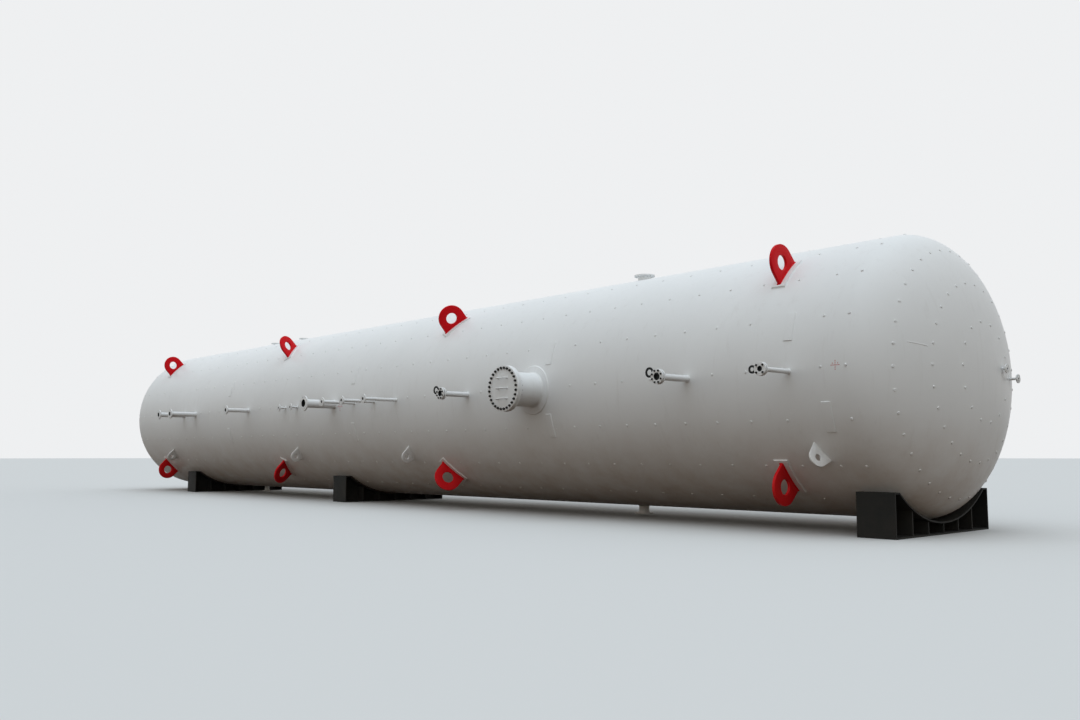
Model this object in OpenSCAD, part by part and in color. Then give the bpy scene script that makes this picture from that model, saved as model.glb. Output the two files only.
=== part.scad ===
// Horizontal pressure tank on three transport cradles
// X runs along the tank, -Y is the side with the manhole, Z is up.
// The origin is on the floor, under the middle cradle.

/* [Shell] */
// Inside diameter of the shell
bore_d = 3600; // [3000:10:4200]
// Wall of the shell and of both heads
wall = 28; // [20:1:36]
// Width of one rolled ring course
course_w = 2395; // [2250:5:2500]
// Height of the tank's lowest line above the floor
belly_h = 170; // [160:5:260]

/* [Heads] */
// Straight skirt of each head
skirt_l = 180; // [60:5:240]
// Inside depth of the dished part
dish_h = 900; // [700:10:1100]

/* [Nozzles] */
// Height of the rear pair's flange faces above the shell
pair_h = 670; // [600:5:760]
// Height of the open process nozzle's flange face above the shell
process_h = 560; // [420:5:640]
// Height of the large nozzle's flange face above the shell
large_h = 690; // [600:5:760]
// Height of the three small nozzles' flange faces above the shell
small_h = 720; // [620:5:800]
// Height of the blanked nozzles' flange faces above the shell: rear, middle and front
blanked_rear_h = 545; // [420:5:640]
blanked_middle_h = 585; // [420:5:640]
blanked_front_h = 570; // [420:5:640]
// Height of the two short nozzles above the shell
short_h = 175; // [140:5:240]
// Height of the two smaller top nozzles above the shell
top_small_h = 80; // [75:1:140]
// Height of the large top nozzle above the shell
top_large_h = 125; // [90:1:160]
// How far the bottom nozzles hang below the shell
bottom_h = 135; // [90:1:150]
// How far each neck stands into the tank
inner_lip = 12; // [5:1:25]

/* [Head nozzles] */
// Side offset of the outer head nozzle
outer_nozzle_y = 800; // [700:10:900]
// Height of the outer head nozzle, measured from the tank's axis
outer_nozzle_z = -45; // [-100:5:0]
// How far the outer head nozzle's face stands past the head's tip
outer_nozzle_out = 20; // [0:1:60]
// Side offset of the inner head nozzle
inner_nozzle_y = 420; // [300:10:520]
// Height of the inner head nozzle, measured from the tank's axis
inner_nozzle_z = 60; // [0:5:100]
// How far the inner head nozzle's face stands past the head's tip
inner_nozzle_out = 40; // [20:1:60]

/* [Manhole] */
// Bore of the manhole neck
manhole_bore = 500; // [400:10:560]
// Wall of the manhole neck
manhole_wall = 16; // [10:1:22]
// Distance of the cover's outer face from the shell
manhole_h = 600; // [450:5:700]
// Diameter of the manhole flange and cover
manhole_flange_d = 712; // [690:2:760]
// Bolt circle of the manhole
manhole_pcd = 632; // [620:2:650]
// Number of manhole bolts
manhole_bolts = 28; // [20:2:32]
// Diameter of the manhole bolt holes
manhole_hole = 26; // [20:1:30]
// Thickness of the manhole cover
cover_t = 42; // [30:1:60]
// Thickness of the manhole flange
manhole_flange_t = 46; // [30:1:60]
// Width of the reinforcing plate around the manhole
manhole_pad_w = 110; // [60:5:160]
// Thickness of the reinforcing plate around the manhole
manhole_pad_t = 16; // [10:1:24]
// Length of the three grab bars on the cover
grab_l = 220; // [150:5:280]
// Diameter of the grab bars
grab_d = 20; // [14:1:28]
// Clear height of the grab bars above the cover
grab_h = 60; // [40:2:90]
// Bend radius of the grab bars, at the middle of the rod
grab_bend = 24; // [20:1:30]
// Distance between the grab bars
grab_pitch = 158; // [120:2:180]

/* [Lifting lugs] */
// Angle of the upper lugs above the tank's middle line
lug_upper_angle = 47; // [42:1:50]
// Angle of the lower lugs below the tank's middle line
lug_lower_angle = 45; // [42:1:50]
// Turn of the inner lugs about their own outward line
lug_turn = 27; // [0:1:30]
// Height of the eye's centre above the shell
lug_h = 174; // [165:1:190]
// Outer radius of the eye
lug_r = 240; // [230:2:250]
// Diameter of the hole in the eye
lug_hole = 200; // [160:2:220]
// Thickness of the lug plate
lug_t = 40; // [30:2:60]
// Width of the lug plate at its foot
lug_foot = 484; // [476:2:520]
// Length of the pad under a lug, along the tank
lug_pad_l = 200; // [120:5:260]
// Width of the pad under a lug, round the tank
lug_pad_w = 570; // [540:5:640]
// Thickness of the pad under a lug
lug_pad_t = 20; // [10:1:30]

/* [Lashing lugs] */
// Angle of the lashing lugs below the tank's middle line
lash_angle = 32.5; // [28:0.5:35]
// Height of the lashing eye's centre above the shell
lash_h = 120; // [110:1:130]
// Outer radius of the lashing eye
lash_r = 120; // [100:2:130]
// Diameter of the hole in the lashing eye
lash_hole = 86; // [60:2:100]
// Thickness of the lashing lug plate
lash_t = 26; // [16:1:40]
// Width of the lashing lug at its foot
lash_foot = 300; // [280:5:360]

/* [Platform pads] */
// Angle between the tank's middle line and the near edge of a platform pad
platform_angle = 12.2; // [12:0.1:14]
// Length of a platform pad, round the tank
platform_l = 370; // [250:5:420]
// Width of a platform pad, along the tank
platform_w = 120; // [80:5:150]
// Thickness of a platform pad
platform_t = 10; // [6:1:16]

/* [Cradles] */
// How far the rear cradle's middle stands short of the second seam
rear_before = 290; // [260:5:700]
// How far the middle cradle's middle stands past the fifth seam
middle_past = 57.5; // [0:2.5:150]
// How far the front cradle's middle stands past the front head's seam
front_past = 222.5; // [150:2.5:250]
// Length of a cradle along the tank
cradle_l = 500; // [420:5:600]
// Width of a cradle across the tank
cradle_w = 2500; // [2400:10:2700]
// Height of a cradle's ends
cradle_h = 545; // [480:5:600]
// Thickness of the cradle plates
cradle_t = 20; // [12:1:30]
// Distance between the cradle ribs
rib_pitch = 400; // [300:5:500]
// Thickness of the packing strip on a cradle
packing_t = 12; // [8:1:20]

/* [Hidden] */

$fn = 96;

// Gap left for the weld where one curved face meets another
weld_gap = 0.3;
// Overlap that a cutting tool runs past a face
past = 1;

courses = 9;
shell_r = bore_d / 2 + wall;
inner_r = bore_d / 2;
// Facets of the large circles
round_n = 360;
axis_z = belly_h + shell_r;
shell_l = courses * course_w;
// Girth seams are numbered from the rear head's seam, 1, to the front head's seam, 10
function seam_x(k) = (k - 1) * course_w - shell_l / 2;
// A station is a seam's number and the distance past it
function station_x(s) = seam_x(s[0]) + s[1];
// How far the tank's mid-length stands in front of the middle cradle
middle_x = -station_x([5, middle_past]);
// Steps of the dished profile
dish_steps = 32;

// Flanged pipe sizes: bore, pipe, flange diameter, bolt circle, bolts, hole, thickness, raised face
PIPE_25 = [27, 33.7, 115, 85, 4, 14, 18, 68];
PIPE_40 = [41, 48.3, 150, 110, 4, 18, 20, 88];
PIPE_50 = [52, 60.3, 165, 125, 4, 18, 22, 102];
PIPE_80 = [78, 88.9, 200, 160, 8, 18, 26, 138];
PIPE_100 = [102, 114.3, 235, 190, 8, 22, 26, 162];
PIPE_150 = [154, 168.3, 300, 250, 8, 26, 30, 218];
PIPE_200 = [203, 219.1, 340, 295, 12, 22, 28, 278];

function pipe_bore(p) = p[0];
function pipe_od(p) = p[1];
function flange_d(p) = p[2];
function flange_pcd(p) = p[3];
function flange_bolts(p) = p[4];
function flange_hole(p) = p[5];
function flange_t(p) = p[6];
function face_d(p) = p[7];
// Height of the raised face
face_t = 3;
// Length of the tapered hub behind a flange
hub_l = 32;
// How much wider than the pipe the hub's thick end is
hub_w = 22;
// Thickness of a figure-eight blank
blank_t = 10;

// Nozzles: station, height of the face above the shell, pipe size
SIDE = [
    [[2, 480], pair_h, PIPE_100],
    [[2, 1195], pair_h, PIPE_100],
    [[3, 1730], process_h, PIPE_80],
    [[5, 750], large_h, PIPE_150],
    [[5, 1510], small_h, PIPE_50],
    [[6, -170], small_h, PIPE_50],
    [[6, 575], small_h, PIPE_50],
    [[7, 325], blanked_rear_h, PIPE_80],
    [[9, 275], blanked_middle_h, PIPE_80],
    [[10, -545], blanked_front_h, PIPE_50]
];
// Nozzles that carry a blank and a second flange, by their place in SIDE
BLANKED = [7, 8, 9];
SHORT = [[[4, 1120], short_h, PIPE_40], [[4, 1630], short_h, PIPE_40]];
TOP = [
    [[2, 1820], top_small_h, PIPE_100],
    [[3, 905], top_small_h, PIPE_100],
    [[8, 325], top_large_h, PIPE_200]
];
BOTTOM = [[[2, 1535], bottom_h, PIPE_100], [[8, 265], bottom_h, PIPE_150]];
manhole_x = station_x([7, 1960]);
// Head nozzles: side offset, height, how far the face stands past the head's tip
HEAD_NOZZLES = [
    [outer_nozzle_y, outer_nozzle_z, outer_nozzle_out],
    [inner_nozzle_y, inner_nozzle_z, inner_nozzle_out]
];

module at_vessel() translate([middle_x, 0, axis_z]) children();

// Places a nozzle whose own axis is +Z so that it points out of the near side, the top or the bottom
module to_side(x) translate([x, 0, 0]) rotate([90, 0, 0]) children();
module to_top(x) translate([x, 0, 0]) children();
module to_bottom(x) translate([x, 0, 0]) rotate([180, 0, 0]) children();

module ring_of(count, pcd) {
    for (i = [0 : count - 1]) rotate([0, 0, (i + 0.5) * 360 / count])
        translate([pcd / 2, 0, 0]) children();
}

// A flange with its face at z = 0, bolted from above
module flange_blank(d, t, raised_d) {
    translate([0, 0, -t]) cylinder(h = t - face_t, d = d);
    translate([0, 0, -t]) cylinder(h = t, d = raised_d);
}

module bolt_holes(count, pcd, hole, t) {
    ring_of(count, pcd) translate([0, 0, -t - past]) cylinder(h = t + 2 * past, d = hole, $fn = 32);
}

module pipe_bolt_holes(p) bolt_holes(flange_bolts(p), flange_pcd(p), flange_hole(p), flange_t(p));

// Where a neck of radius r starts inside the tank
function neck_start(r) = sqrt(inner_r * inner_r - r * r) - inner_lip;

module neck_and_flange(p, height) {
    face_z = shell_r + height;
    start = neck_start(pipe_od(p) / 2);
    difference() {
        union() {
            translate([0, 0, start]) cylinder(h = face_z - start, d = pipe_od(p));
            translate([0, 0, face_z - flange_t(p) - hub_l])
                cylinder(h = hub_l, d1 = pipe_od(p), d2 = pipe_od(p) + hub_w);
            translate([0, 0, face_z]) flange_blank(flange_d(p), flange_t(p), face_d(p));
        }
        translate([0, 0, start - past]) cylinder(h = face_z - start + 2 * past, d = pipe_bore(p));
        translate([0, 0, face_z]) pipe_bolt_holes(p);
    }
}

module neck_hole(r) translate([0, 0, inner_r / 2]) cylinder(h = inner_r, r = r + weld_gap);

// Ellipse from the tangent line to the tip, as points (x, radius)
function dish(h, r) = [for (i = [0 : dish_steps]) let (a = 90 * i / dish_steps) [h * sin(a), r * cos(a)]];

// The heads are revolved about the tank's axis, with the seam at x = 0
module head(sign) {
    outer = dish(dish_h + wall, shell_r);
    inner = dish(dish_h, inner_r);
    flip = [for (i = [dish_steps : -1 : 0]) inner[i]];
    profile = concat([[0, inner_r], [0, shell_r]], [for (p = outer) [skirt_l + p[0], p[1]]],
        [for (p = flip) [skirt_l + p[0], p[1]]]);
    translate([sign * shell_l / 2, 0, 0]) rotate([0, sign * 90, 0])
        rotate_extrude($fn = round_n) polygon([for (p = profile) [p[1], p[0]]]);
}

module head_rear() color("gainsboro") at_vessel() head(-1);

module head_front() color("gainsboro") at_vessel() difference() {
    head(1);
    for (n = HEAD_NOZZLES) translate([shell_l / 2, n[0], n[1]]) rotate([0, 90, 0])
        cylinder(h = skirt_l + dish_h + 2 * wall, d = pipe_od(PIPE_25) + 2 * weld_gap);
}

// Whether a neck of radius r at x cuts into the course between seams k and k + 1
function meets_course(k, x, r) = x + r > seam_x(k) && x - r < seam_x(k + 1);

module necks_cut(k, necks) {
    for (n = necks) if (meets_course(k, station_x(n[0]), pipe_od(n[2]) / 2))
        translate([station_x(n[0]), 0, 0]) neck_hole(pipe_od(n[2]) / 2);
}

module course(k) color("white") at_vessel() difference() {
    translate([seam_x(k), 0, 0]) rotate([0, 90, 0]) difference() {
        cylinder(h = course_w, r = shell_r, $fn = round_n);
        translate([0, 0, -past]) cylinder(h = course_w + 2 * past, r = inner_r, $fn = round_n);
    }
    to_side(0) necks_cut(k, concat(SIDE, SHORT));
    to_top(0) necks_cut(k, TOP);
    to_bottom(0) necks_cut(k, BOTTOM);
    if (meets_course(k, manhole_x, manhole_neck_r)) to_side(manhole_x) neck_hole(manhole_neck_r);
}

module side_nozzle(k) color("white") at_vessel() to_side(station_x(SIDE[k][0]))
    neck_and_flange(SIDE[k][2], SIDE[k][1]);

module short_couplings() color("white") at_vessel()
    for (n = SHORT) to_side(station_x(n[0])) neck_and_flange(n[2], n[1]);

module top_nozzles() color("white") at_vessel()
    for (n = TOP) to_top(station_x(n[0])) neck_and_flange(n[2], n[1]);

module bottom_nozzles() color("white") at_vessel()
    for (n = BOTTOM) to_bottom(station_x(n[0])) neck_and_flange(n[2], n[1]);

// Inner surface of the dish at a distance r from the tank's axis, measured from mid-length
function dish_inner_x(r) = shell_l / 2 + skirt_l + dish_h * sqrt(1 - pow(r / inner_r, 2));
head_tip_x = shell_l / 2 + skirt_l + dish_h + wall;

module head_nozzles() color("white") at_vessel() for (n = HEAD_NOZZLES) {
    p = PIPE_25;
    root = dish_inner_x(norm([n[0], n[1]]) + pipe_od(p) / 2) - inner_lip;
    face = head_tip_x + n[2];
    translate([root, n[0], n[1]]) rotate([0, 90, 0]) difference() {
        union() {
            cylinder(h = face - root, d = pipe_od(p));
            translate([0, 0, face - root]) flange_blank(flange_d(p), flange_t(p), face_d(p));
        }
        translate([0, 0, -past]) cylinder(h = face - root + 2 * past, d = pipe_bore(p));
        translate([0, 0, face - root]) pipe_bolt_holes(p);
    }
}

// The ring stands on a bolt of an eight-bolt flange, or between two bolts of a four-bolt one
function ring_on_bolt(p) = flange_bolts(p) > 4;
function blank_turn(p) = ring_on_bolt(p) ? 180 - 180 / flange_bolts(p) : 180;

// Figure-eight blanks: the solid half closes the nozzle, the open ring stands beside the flange
module figure_eight(p) {
    reach = flange_pcd(p);
    web_w = 2 * flange_t(p);
    difference() {
        union() {
            cylinder(h = blank_t, d = face_d(p));
            translate([reach, 0, 0]) cylinder(h = blank_t, d = face_d(p));
            translate([0, -web_w / 2, 0]) cube([reach, web_w, blank_t]);
        }
        translate([reach, 0, -past]) cylinder(h = blank_t + 2 * past, d = pipe_bore(p));
        if (ring_on_bolt(p)) translate([reach / 2, 0, -past])
            cylinder(h = blank_t + 2 * past, d = flange_hole(p), $fn = 32);
    }
}

module spectacle_blanks() color("dimgray") at_vessel() for (k = BLANKED)
    to_side(station_x(SIDE[k][0])) translate([0, 0, shell_r + SIDE[k][1]])
        rotate([0, 0, blank_turn(SIDE[k][2])]) figure_eight(SIDE[k][2]);

module companion_flanges() color("white") at_vessel() for (k = BLANKED) {
    p = SIDE[k][2];
    to_side(station_x(SIDE[k][0])) translate([0, 0, shell_r + SIDE[k][1] + blank_t]) difference() {
        rotate([180, 0, 0]) flange_blank(flange_d(p), flange_t(p), face_d(p));
        translate([0, 0, -past]) cylinder(h = flange_t(p) + 2 * past, d = pipe_bore(p));
        translate([0, 0, flange_t(p)]) pipe_bolt_holes(p);
    }
}

manhole_neck_r = manhole_bore / 2 + manhole_wall;
// Joint between the manhole flange and its cover, from the tank's axis
manhole_joint = shell_r + manhole_h - cover_t;

module manhole_neck() color("white") at_vessel() to_side(manhole_x) {
    start = neck_start(manhole_neck_r);
    neck_l = manhole_joint - manhole_flange_t - start;
    translate([0, 0, start]) difference() {
        cylinder(h = neck_l, r = manhole_neck_r);
        translate([0, 0, -past]) cylinder(h = neck_l + 2 * past, d = manhole_bore);
    }
}

// The flange sits flat on the end of the neck
module manhole_flange() color("white") at_vessel() to_side(manhole_x)
    translate([0, 0, manhole_joint]) difference() {
        translate([0, 0, -manhole_flange_t]) cylinder(h = manhole_flange_t, d = manhole_flange_d);
        translate([0, 0, -manhole_flange_t - past])
            cylinder(h = manhole_flange_t + 2 * past, d = manhole_bore);
        bolt_holes(manhole_bolts, manhole_pcd, manhole_hole, manhole_flange_t);
    }

module manhole_pad() color("white") at_vessel() to_side(manhole_x) difference() {
    translate([0, 0, inner_r]) intersection() {
        cylinder(h = wall + 2 * manhole_pad_t, r = manhole_neck_r + manhole_pad_w);
        translate([0, 0, -inner_r]) rotate([0, 90, 0])
            cylinder(h = 3 * manhole_bore, r = shell_r + manhole_pad_t, center = true, $fn = round_n);
    }
    rotate([0, 90, 0]) cylinder(h = 3 * manhole_bore, r = shell_r + weld_gap, center = true, $fn = round_n);
    neck_hole(manhole_neck_r);
}

module manhole_cover() color("white") at_vessel() to_side(manhole_x)
    translate([0, 0, manhole_joint]) difference() {
        cylinder(h = cover_t, d = manhole_flange_d);
        translate([0, 0, cover_t]) bolt_holes(manhole_bolts, manhole_pcd, manhole_hole, cover_t);
    }

module grab_bar() {
    leg = grab_h + grab_d;
    for (s = [-1, 1]) translate([s * (grab_l - grab_d) / 2, 0, 0]) {
        cylinder(h = leg - grab_d / 2 - grab_bend, d = grab_d, $fn = 32);
        translate([-s * grab_bend, 0, leg - grab_d / 2 - grab_bend]) rotate([90, 0, 0])
            rotate([0, 0, s > 0 ? 0 : 90]) rotate_extrude(angle = 90, $fn = 64)
                translate([grab_bend, 0]) circle(d = grab_d, $fn = 32);
    }
    translate([-(grab_l - grab_d) / 2 + grab_bend, 0, leg - grab_d / 2]) rotate([0, 90, 0])
        cylinder(h = grab_l - grab_d - 2 * grab_bend, d = grab_d, $fn = 32);
}

module manhole_grab_bars() color("white") at_vessel() to_side(manhole_x)
    translate([0, 0, shell_r + manhole_h]) for (s = [-1, 0, 1]) translate([0, s * grab_pitch, 0]) grab_bar();

// Depth of an arc of radius r below its own chord's ends, half a chord away
function sagitta(r, half) = r - sqrt(r * r - half * half);

// Eye plate in the XY plane: foot on y = 0, eye at height h, sides tangent to the eye
module eye_plate(h, r, hole, foot, t, sink) {
    reach = norm([foot / 2, h]);
    lean = atan2(h, -foot / 2) - asin(r / reach);
    side_l = sqrt(reach * reach - r * r);
    tip = [foot / 2 + side_l * cos(lean), side_l * sin(lean)];
    difference() {
        union() {
            translate([0, 0, -t / 2]) linear_extrude(t)
                polygon([[-foot / 2, -sink], [foot / 2, -sink], [foot / 2, 0], tip, [0, h],
                    [-tip[0], tip[1]], [-foot / 2, 0]]);
            translate([0, h, 0]) cylinder(h = t, r = r, center = true);
        }
        translate([0, h, 0]) cylinder(h = t + 2 * past, d = hole, center = true);
    }
}

// Turns +Y of a child into the outward direction at an angle above the near side's middle line
module outward(x, angle) translate([x, 0, 0]) rotate([180 - angle, 0, 0]) children();

// Lifting lugs: station, turn of the plate about its own outward line
LUGS = [[[1, 850], 0], [[4, 260], -lug_turn], [[7, -755], lug_turn], [[10, -920], 0]];
// Lug rings: angle above the near side's middle line, way the turns go
UPPER_NEAR = [lug_upper_angle, 1];
LOWER_NEAR = [-lug_lower_angle, -1];
UPPER_FAR = [180 - lug_upper_angle, -1];
LOWER_FAR = [180 + lug_lower_angle, 1];

module lifting_lugs(ring) color("firebrick") at_vessel() difference() {
    for (l = LUGS) outward(station_x(l[0]), ring[0]) translate([0, shell_r + lug_pad_t, 0])
        rotate([0, 90 - ring[1] * l[1], 0])
            eye_plate(lug_h - lug_pad_t, lug_r, lug_hole, lug_foot, lug_t,
                sagitta(shell_r + lug_pad_t, lug_foot / 2) + past);
    for (l = LUGS) translate([station_x(l[0]), 0, 0]) rotate([0, 90, 0])
        cylinder(h = lug_foot, r = shell_r + lug_pad_t + weld_gap, center = true, $fn = round_n);
}

// Plate bent round the shell, its middle at the child's +Y: l along the tank, w round it, t thick,
// then turned about the child's Y
module curved_pad(l, w, t, turn = 0) intersection() {
    rotate([0, 90, 0]) difference() {
        cylinder(h = l + w, r = shell_r + t, center = true, $fn = round_n);
        cylinder(h = l + w + 2 * past, r = shell_r + weld_gap, center = true, $fn = round_n);
    }
    rotate([0, -turn, 0]) translate([-l / 2, shell_r / 2, -w / 2]) cube([l, shell_r, w]);
}

module lug_pads(rings) color("white") at_vessel()
    for (l = LUGS, ring = rings) outward(station_x(l[0]), ring[0])
        curved_pad(lug_pad_l, lug_pad_w, lug_pad_t, ring[1] * l[1]);

// Platform pads: station, side of the middle line
PLATFORM = [
    [[3, 620], 1], [[3, 620], -1], [[5, 1400], 1], [[5, 1400], -1],
    [[7, 2290], 1], [[7, 2290], -1], [[10, -575], 1], [[10, -75], -1]
];
// Angle between the middle line and the middle of a platform pad
platform_middle = platform_angle + asin(platform_l / 2 / shell_r);

module platform_pads() color("white") at_vessel()
    for (p = PLATFORM) outward(station_x(p[0]), p[1] * platform_middle)
        curved_pad(platform_w, platform_l, platform_t);

// Lashing lugs: station, turn of the plate about its own outward line
LASH = [[[1, 1680], 20], [[4, 1280], 8], [[6, 685], 8], [[10, -290], -28]];

module lashing_lugs(near) color("white") at_vessel() difference() {
    for (l = LASH) outward(station_x(l[0]), near ? -lash_angle : 180 + lash_angle)
        translate([0, shell_r, 0]) rotate([0, 90 - l[1] * (near ? 1 : -1), 0])
            eye_plate(lash_h, lash_r, lash_hole, lash_foot, lash_t, sagitta(shell_r, lash_foot / 2) + past);
    rotate([0, 90, 0]) cylinder(h = shell_l + skirt_l, r = shell_r + weld_gap, center = true, $fn = round_n);
}

packing_r = shell_r + weld_gap;
saddle_r = packing_r + packing_t;
RIB_Y = [for (y = [0 : rib_pitch : cradle_w / 2 - rib_pitch / 2]) each (y == 0 ? [0] : [-y, y])];

module cradle(x) color([0.12, 0.12, 0.13]) translate([middle_x + x, 0, 0]) difference() {
    union() {
        translate([-cradle_l / 2, -cradle_w / 2, 0]) cube([cradle_l, cradle_w, cradle_t]);
        translate([-cradle_t / 2, -cradle_w / 2, 0]) cube([cradle_t, cradle_w, cradle_h]);
        for (s = [-1, 1]) translate([-cradle_l / 2, s > 0 ? cradle_w / 2 - cradle_t : -cradle_w / 2, 0])
            cube([cradle_l, cradle_t, cradle_h]);
        translate([-cradle_l / 2, -cradle_w / 2, cradle_h - cradle_t]) cube([cradle_l, cradle_w, cradle_t]);
        for (y = RIB_Y) translate([-cradle_l / 2 + cradle_t, y - cradle_t / 2, 0])
            cube([cradle_l - 2 * cradle_t, cradle_t, cradle_h]);
        intersection() {
            translate([0, 0, axis_z]) rotate([0, 90, 0])
                cylinder(h = cradle_l, r = saddle_r + cradle_t, center = true, $fn = round_n);
            translate([-cradle_l / 2, -cradle_w / 2, 0]) cube([cradle_l, cradle_w, cradle_h]);
        }
    }
    translate([0, 0, axis_z]) rotate([0, 90, 0])
        cylinder(h = cradle_l + 2 * past, r = saddle_r, center = true, $fn = round_n);
}

CRADLE_X = [station_x([2, -rear_before]), -middle_x, station_x([courses + 1, front_past])];

module cradle_packings() color("sienna") for (x = CRADLE_X) {
    // The front packing ends where the head begins to curve
    end_x = min(x + cradle_l / 2, shell_l / 2 + skirt_l);
    start_x = x - cradle_l / 2;
    intersection() {
        translate([middle_x + start_x, 0, axis_z]) rotate([0, 90, 0]) difference() {
            cylinder(h = end_x - start_x, r = saddle_r, $fn = round_n);
            translate([0, 0, -past]) cylinder(h = end_x - start_x + 2 * past, r = packing_r, $fn = round_n);
        }
        translate([middle_x + start_x - past, -cradle_w / 2, 0])
            cube([end_x - start_x + 2 * past, cradle_w, cradle_h]);
    }
}

head_rear();
head_front();
course(1);  // course_1
course(2);  // course_2
course(3);  // course_3
course(4);  // course_4
course(5);  // course_5
course(6);  // course_6
course(7);  // course_7
course(8);  // course_8
course(9);  // course_9
manhole_neck();
manhole_flange();
manhole_pad();
manhole_cover();
manhole_grab_bars();
side_nozzle(0);  // side_nozzle_1
side_nozzle(1);  // side_nozzle_2
side_nozzle(2);  // side_nozzle_3
side_nozzle(3);  // side_nozzle_4
side_nozzle(4);  // side_nozzle_5
side_nozzle(5);  // side_nozzle_6
side_nozzle(6);  // side_nozzle_7
side_nozzle(7);  // side_nozzle_8
side_nozzle(8);  // side_nozzle_9
side_nozzle(9);  // side_nozzle_10
short_couplings();
spectacle_blanks();
companion_flanges();
top_nozzles();
bottom_nozzles();
head_nozzles();
lifting_lugs(UPPER_NEAR);  // lifting_lugs_upper_near
lifting_lugs(LOWER_NEAR);  // lifting_lugs_lower_near
lifting_lugs(UPPER_FAR);  // lifting_lugs_upper_far
lifting_lugs(LOWER_FAR);  // lifting_lugs_lower_far
lug_pads([UPPER_NEAR, LOWER_NEAR]);  // lug_pads_near
lug_pads([UPPER_FAR, LOWER_FAR]);  // lug_pads_far
lashing_lugs(true);  // lashing_lugs_near
lashing_lugs(false);  // lashing_lugs_far
platform_pads();
cradle(CRADLE_X[0]);  // cradle_rear
cradle(CRADLE_X[1]);  // cradle_middle
cradle(CRADLE_X[2]);  // cradle_front
cradle_packings();
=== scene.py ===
"""Looks of the horizontal pressure tank: smooth shell and heads, flanged necks, welds, lugs, bolts and paint.

Every new piece is a surface worked out with numpy as whole arrays: a grid over two parameters, or a
profile carried along a path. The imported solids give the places; the sizes below give the rest.
"""
import math

import bmesh
import bpy
import numpy as np
from bpy.props import FloatProperty, FloatVectorProperty, IntProperty, PointerProperty
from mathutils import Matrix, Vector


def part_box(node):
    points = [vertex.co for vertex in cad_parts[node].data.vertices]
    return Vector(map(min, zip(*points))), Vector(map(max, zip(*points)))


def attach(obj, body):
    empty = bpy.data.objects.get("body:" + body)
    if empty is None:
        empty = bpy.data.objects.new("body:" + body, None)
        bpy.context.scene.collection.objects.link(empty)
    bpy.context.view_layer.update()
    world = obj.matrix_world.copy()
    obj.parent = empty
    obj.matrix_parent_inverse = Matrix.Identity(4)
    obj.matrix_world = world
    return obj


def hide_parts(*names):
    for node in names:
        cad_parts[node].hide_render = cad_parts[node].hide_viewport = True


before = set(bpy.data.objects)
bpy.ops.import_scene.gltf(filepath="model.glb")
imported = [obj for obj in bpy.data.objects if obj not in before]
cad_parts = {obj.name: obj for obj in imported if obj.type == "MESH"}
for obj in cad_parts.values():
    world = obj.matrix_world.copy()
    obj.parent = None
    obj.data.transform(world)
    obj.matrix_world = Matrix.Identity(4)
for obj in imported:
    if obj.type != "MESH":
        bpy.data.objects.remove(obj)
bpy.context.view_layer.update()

bl_info = {
    "name": "Pressure tank looks",
    "version": (1, 0, 0),
    "blender": (4, 5, 0),
    "location": "3D View > Sidebar > Tank",
    "description": "Shell, heads, necks, welds, lugs, fastenings, finishes and stage of a horizontal tank",
    "category": "Object",
}

# Places and main sizes of the shell, read from the solids
COURSES = [f"course_{k}" for k in range(1, 10)]
SEAMS = np.array([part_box(name)[0].x for name in COURSES] + [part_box(COURSES[-1])[1].x])
LOW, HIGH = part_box("course_1")
AXIS_Z = (LOW.z + HIGH.z) / 2
SHELL_R = (HIGH.y - LOW.y) / 2
HEAD_TIP = SEAMS[0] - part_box("head_rear")[0].x
MIDDLE_X = (SEAMS[0] + SEAMS[-1]) / 2

# Sizes of flanged pipes in millimetres: circle is the bolt circle, thick the flange, raised its raised face
PIPE_SIZES = ("bore", "pipe", "flange", "circle", "bolts", "hole", "thick", "raised")
PIPES = np.array([
    [27, 33.7, 115, 85, 4, 14, 18, 68],
    [41, 48.3, 150, 110, 4, 18, 20, 88],
    [52, 60.3, 165, 125, 4, 18, 22, 102],
    [78, 88.9, 200, 160, 8, 18, 26, 138],
    [102, 114.3, 235, 190, 8, 22, 26, 162],
    [154, 168.3, 300, 250, 8, 26, 30, 218],
    [203, 219.1, 340, 295, 12, 22, 28, 278],
])
# Directions across and along a neck: first across, second across, outward
SIDE_WAY = np.array([[1, 0, 0], [0, 0, 1], [0, -1, 0]], float)
TOP_WAY = np.array([[1, 0, 0], [0, 1, 0], [0, 0, 1]], float)
BOTTOM_WAY = np.array([[1, 0, 0], [0, -1, 0], [0, 0, -1]], float)
HEAD_WAY = np.array([[0, 1, 0], [0, 0, 1], [1, 0, 0]], float)

# Degrees between two lines of the shell's grid, and their number
SHELL_STEP = 2
SHELL_LINES = 360 // SHELL_STEP
# Distances of the grid's girth lines from a seam
NEAR_SEAM = (0, 0.012, 0.028, 0.045, 0.065, 0.09, 0.12, 0.16)
# Spacing of girth lines over a neck's window and elsewhere, and the gap from which lines are added
WINDOW_GAP, LINE_GAP, WIDE_GAP = 0.035, 0.25, 0.3
# A neck's window in the grid: its share of the hole, and the margin along the tank and on a head
HOLE_SHARE, HOLE_MARGIN, HEAD_MARGIN = 1.35, 0.03, 0.045
# Edges over this angle stay sharp, degrees
SHARP = 34
# How deep the foot of a weld or a plate reaches into the steel under it, and that of a seam's bead
SUNK, BEAD_SUNK = 0.003, 0.004
# Degrees between two sections of a girth seam's bead, and of the long seams from the top line
BEAD_STEP, LONG_SEAM = 1.5, 14
# Stud: its thread's pitch as a share of its diameter, the thread's depth as a share of the pitch, its tip
PITCH_SHARE, GROOVE_SHARE, STUD_CHAMFER, TIP_LENGTH = 0.13, 0.45, 0.0018, 0.0024
# Nut: radius of its face as a share of its half width, and its chamfer as a share of its width
NUT_FACE, NUT_CHAMFER = 0.96, 0.22

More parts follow.
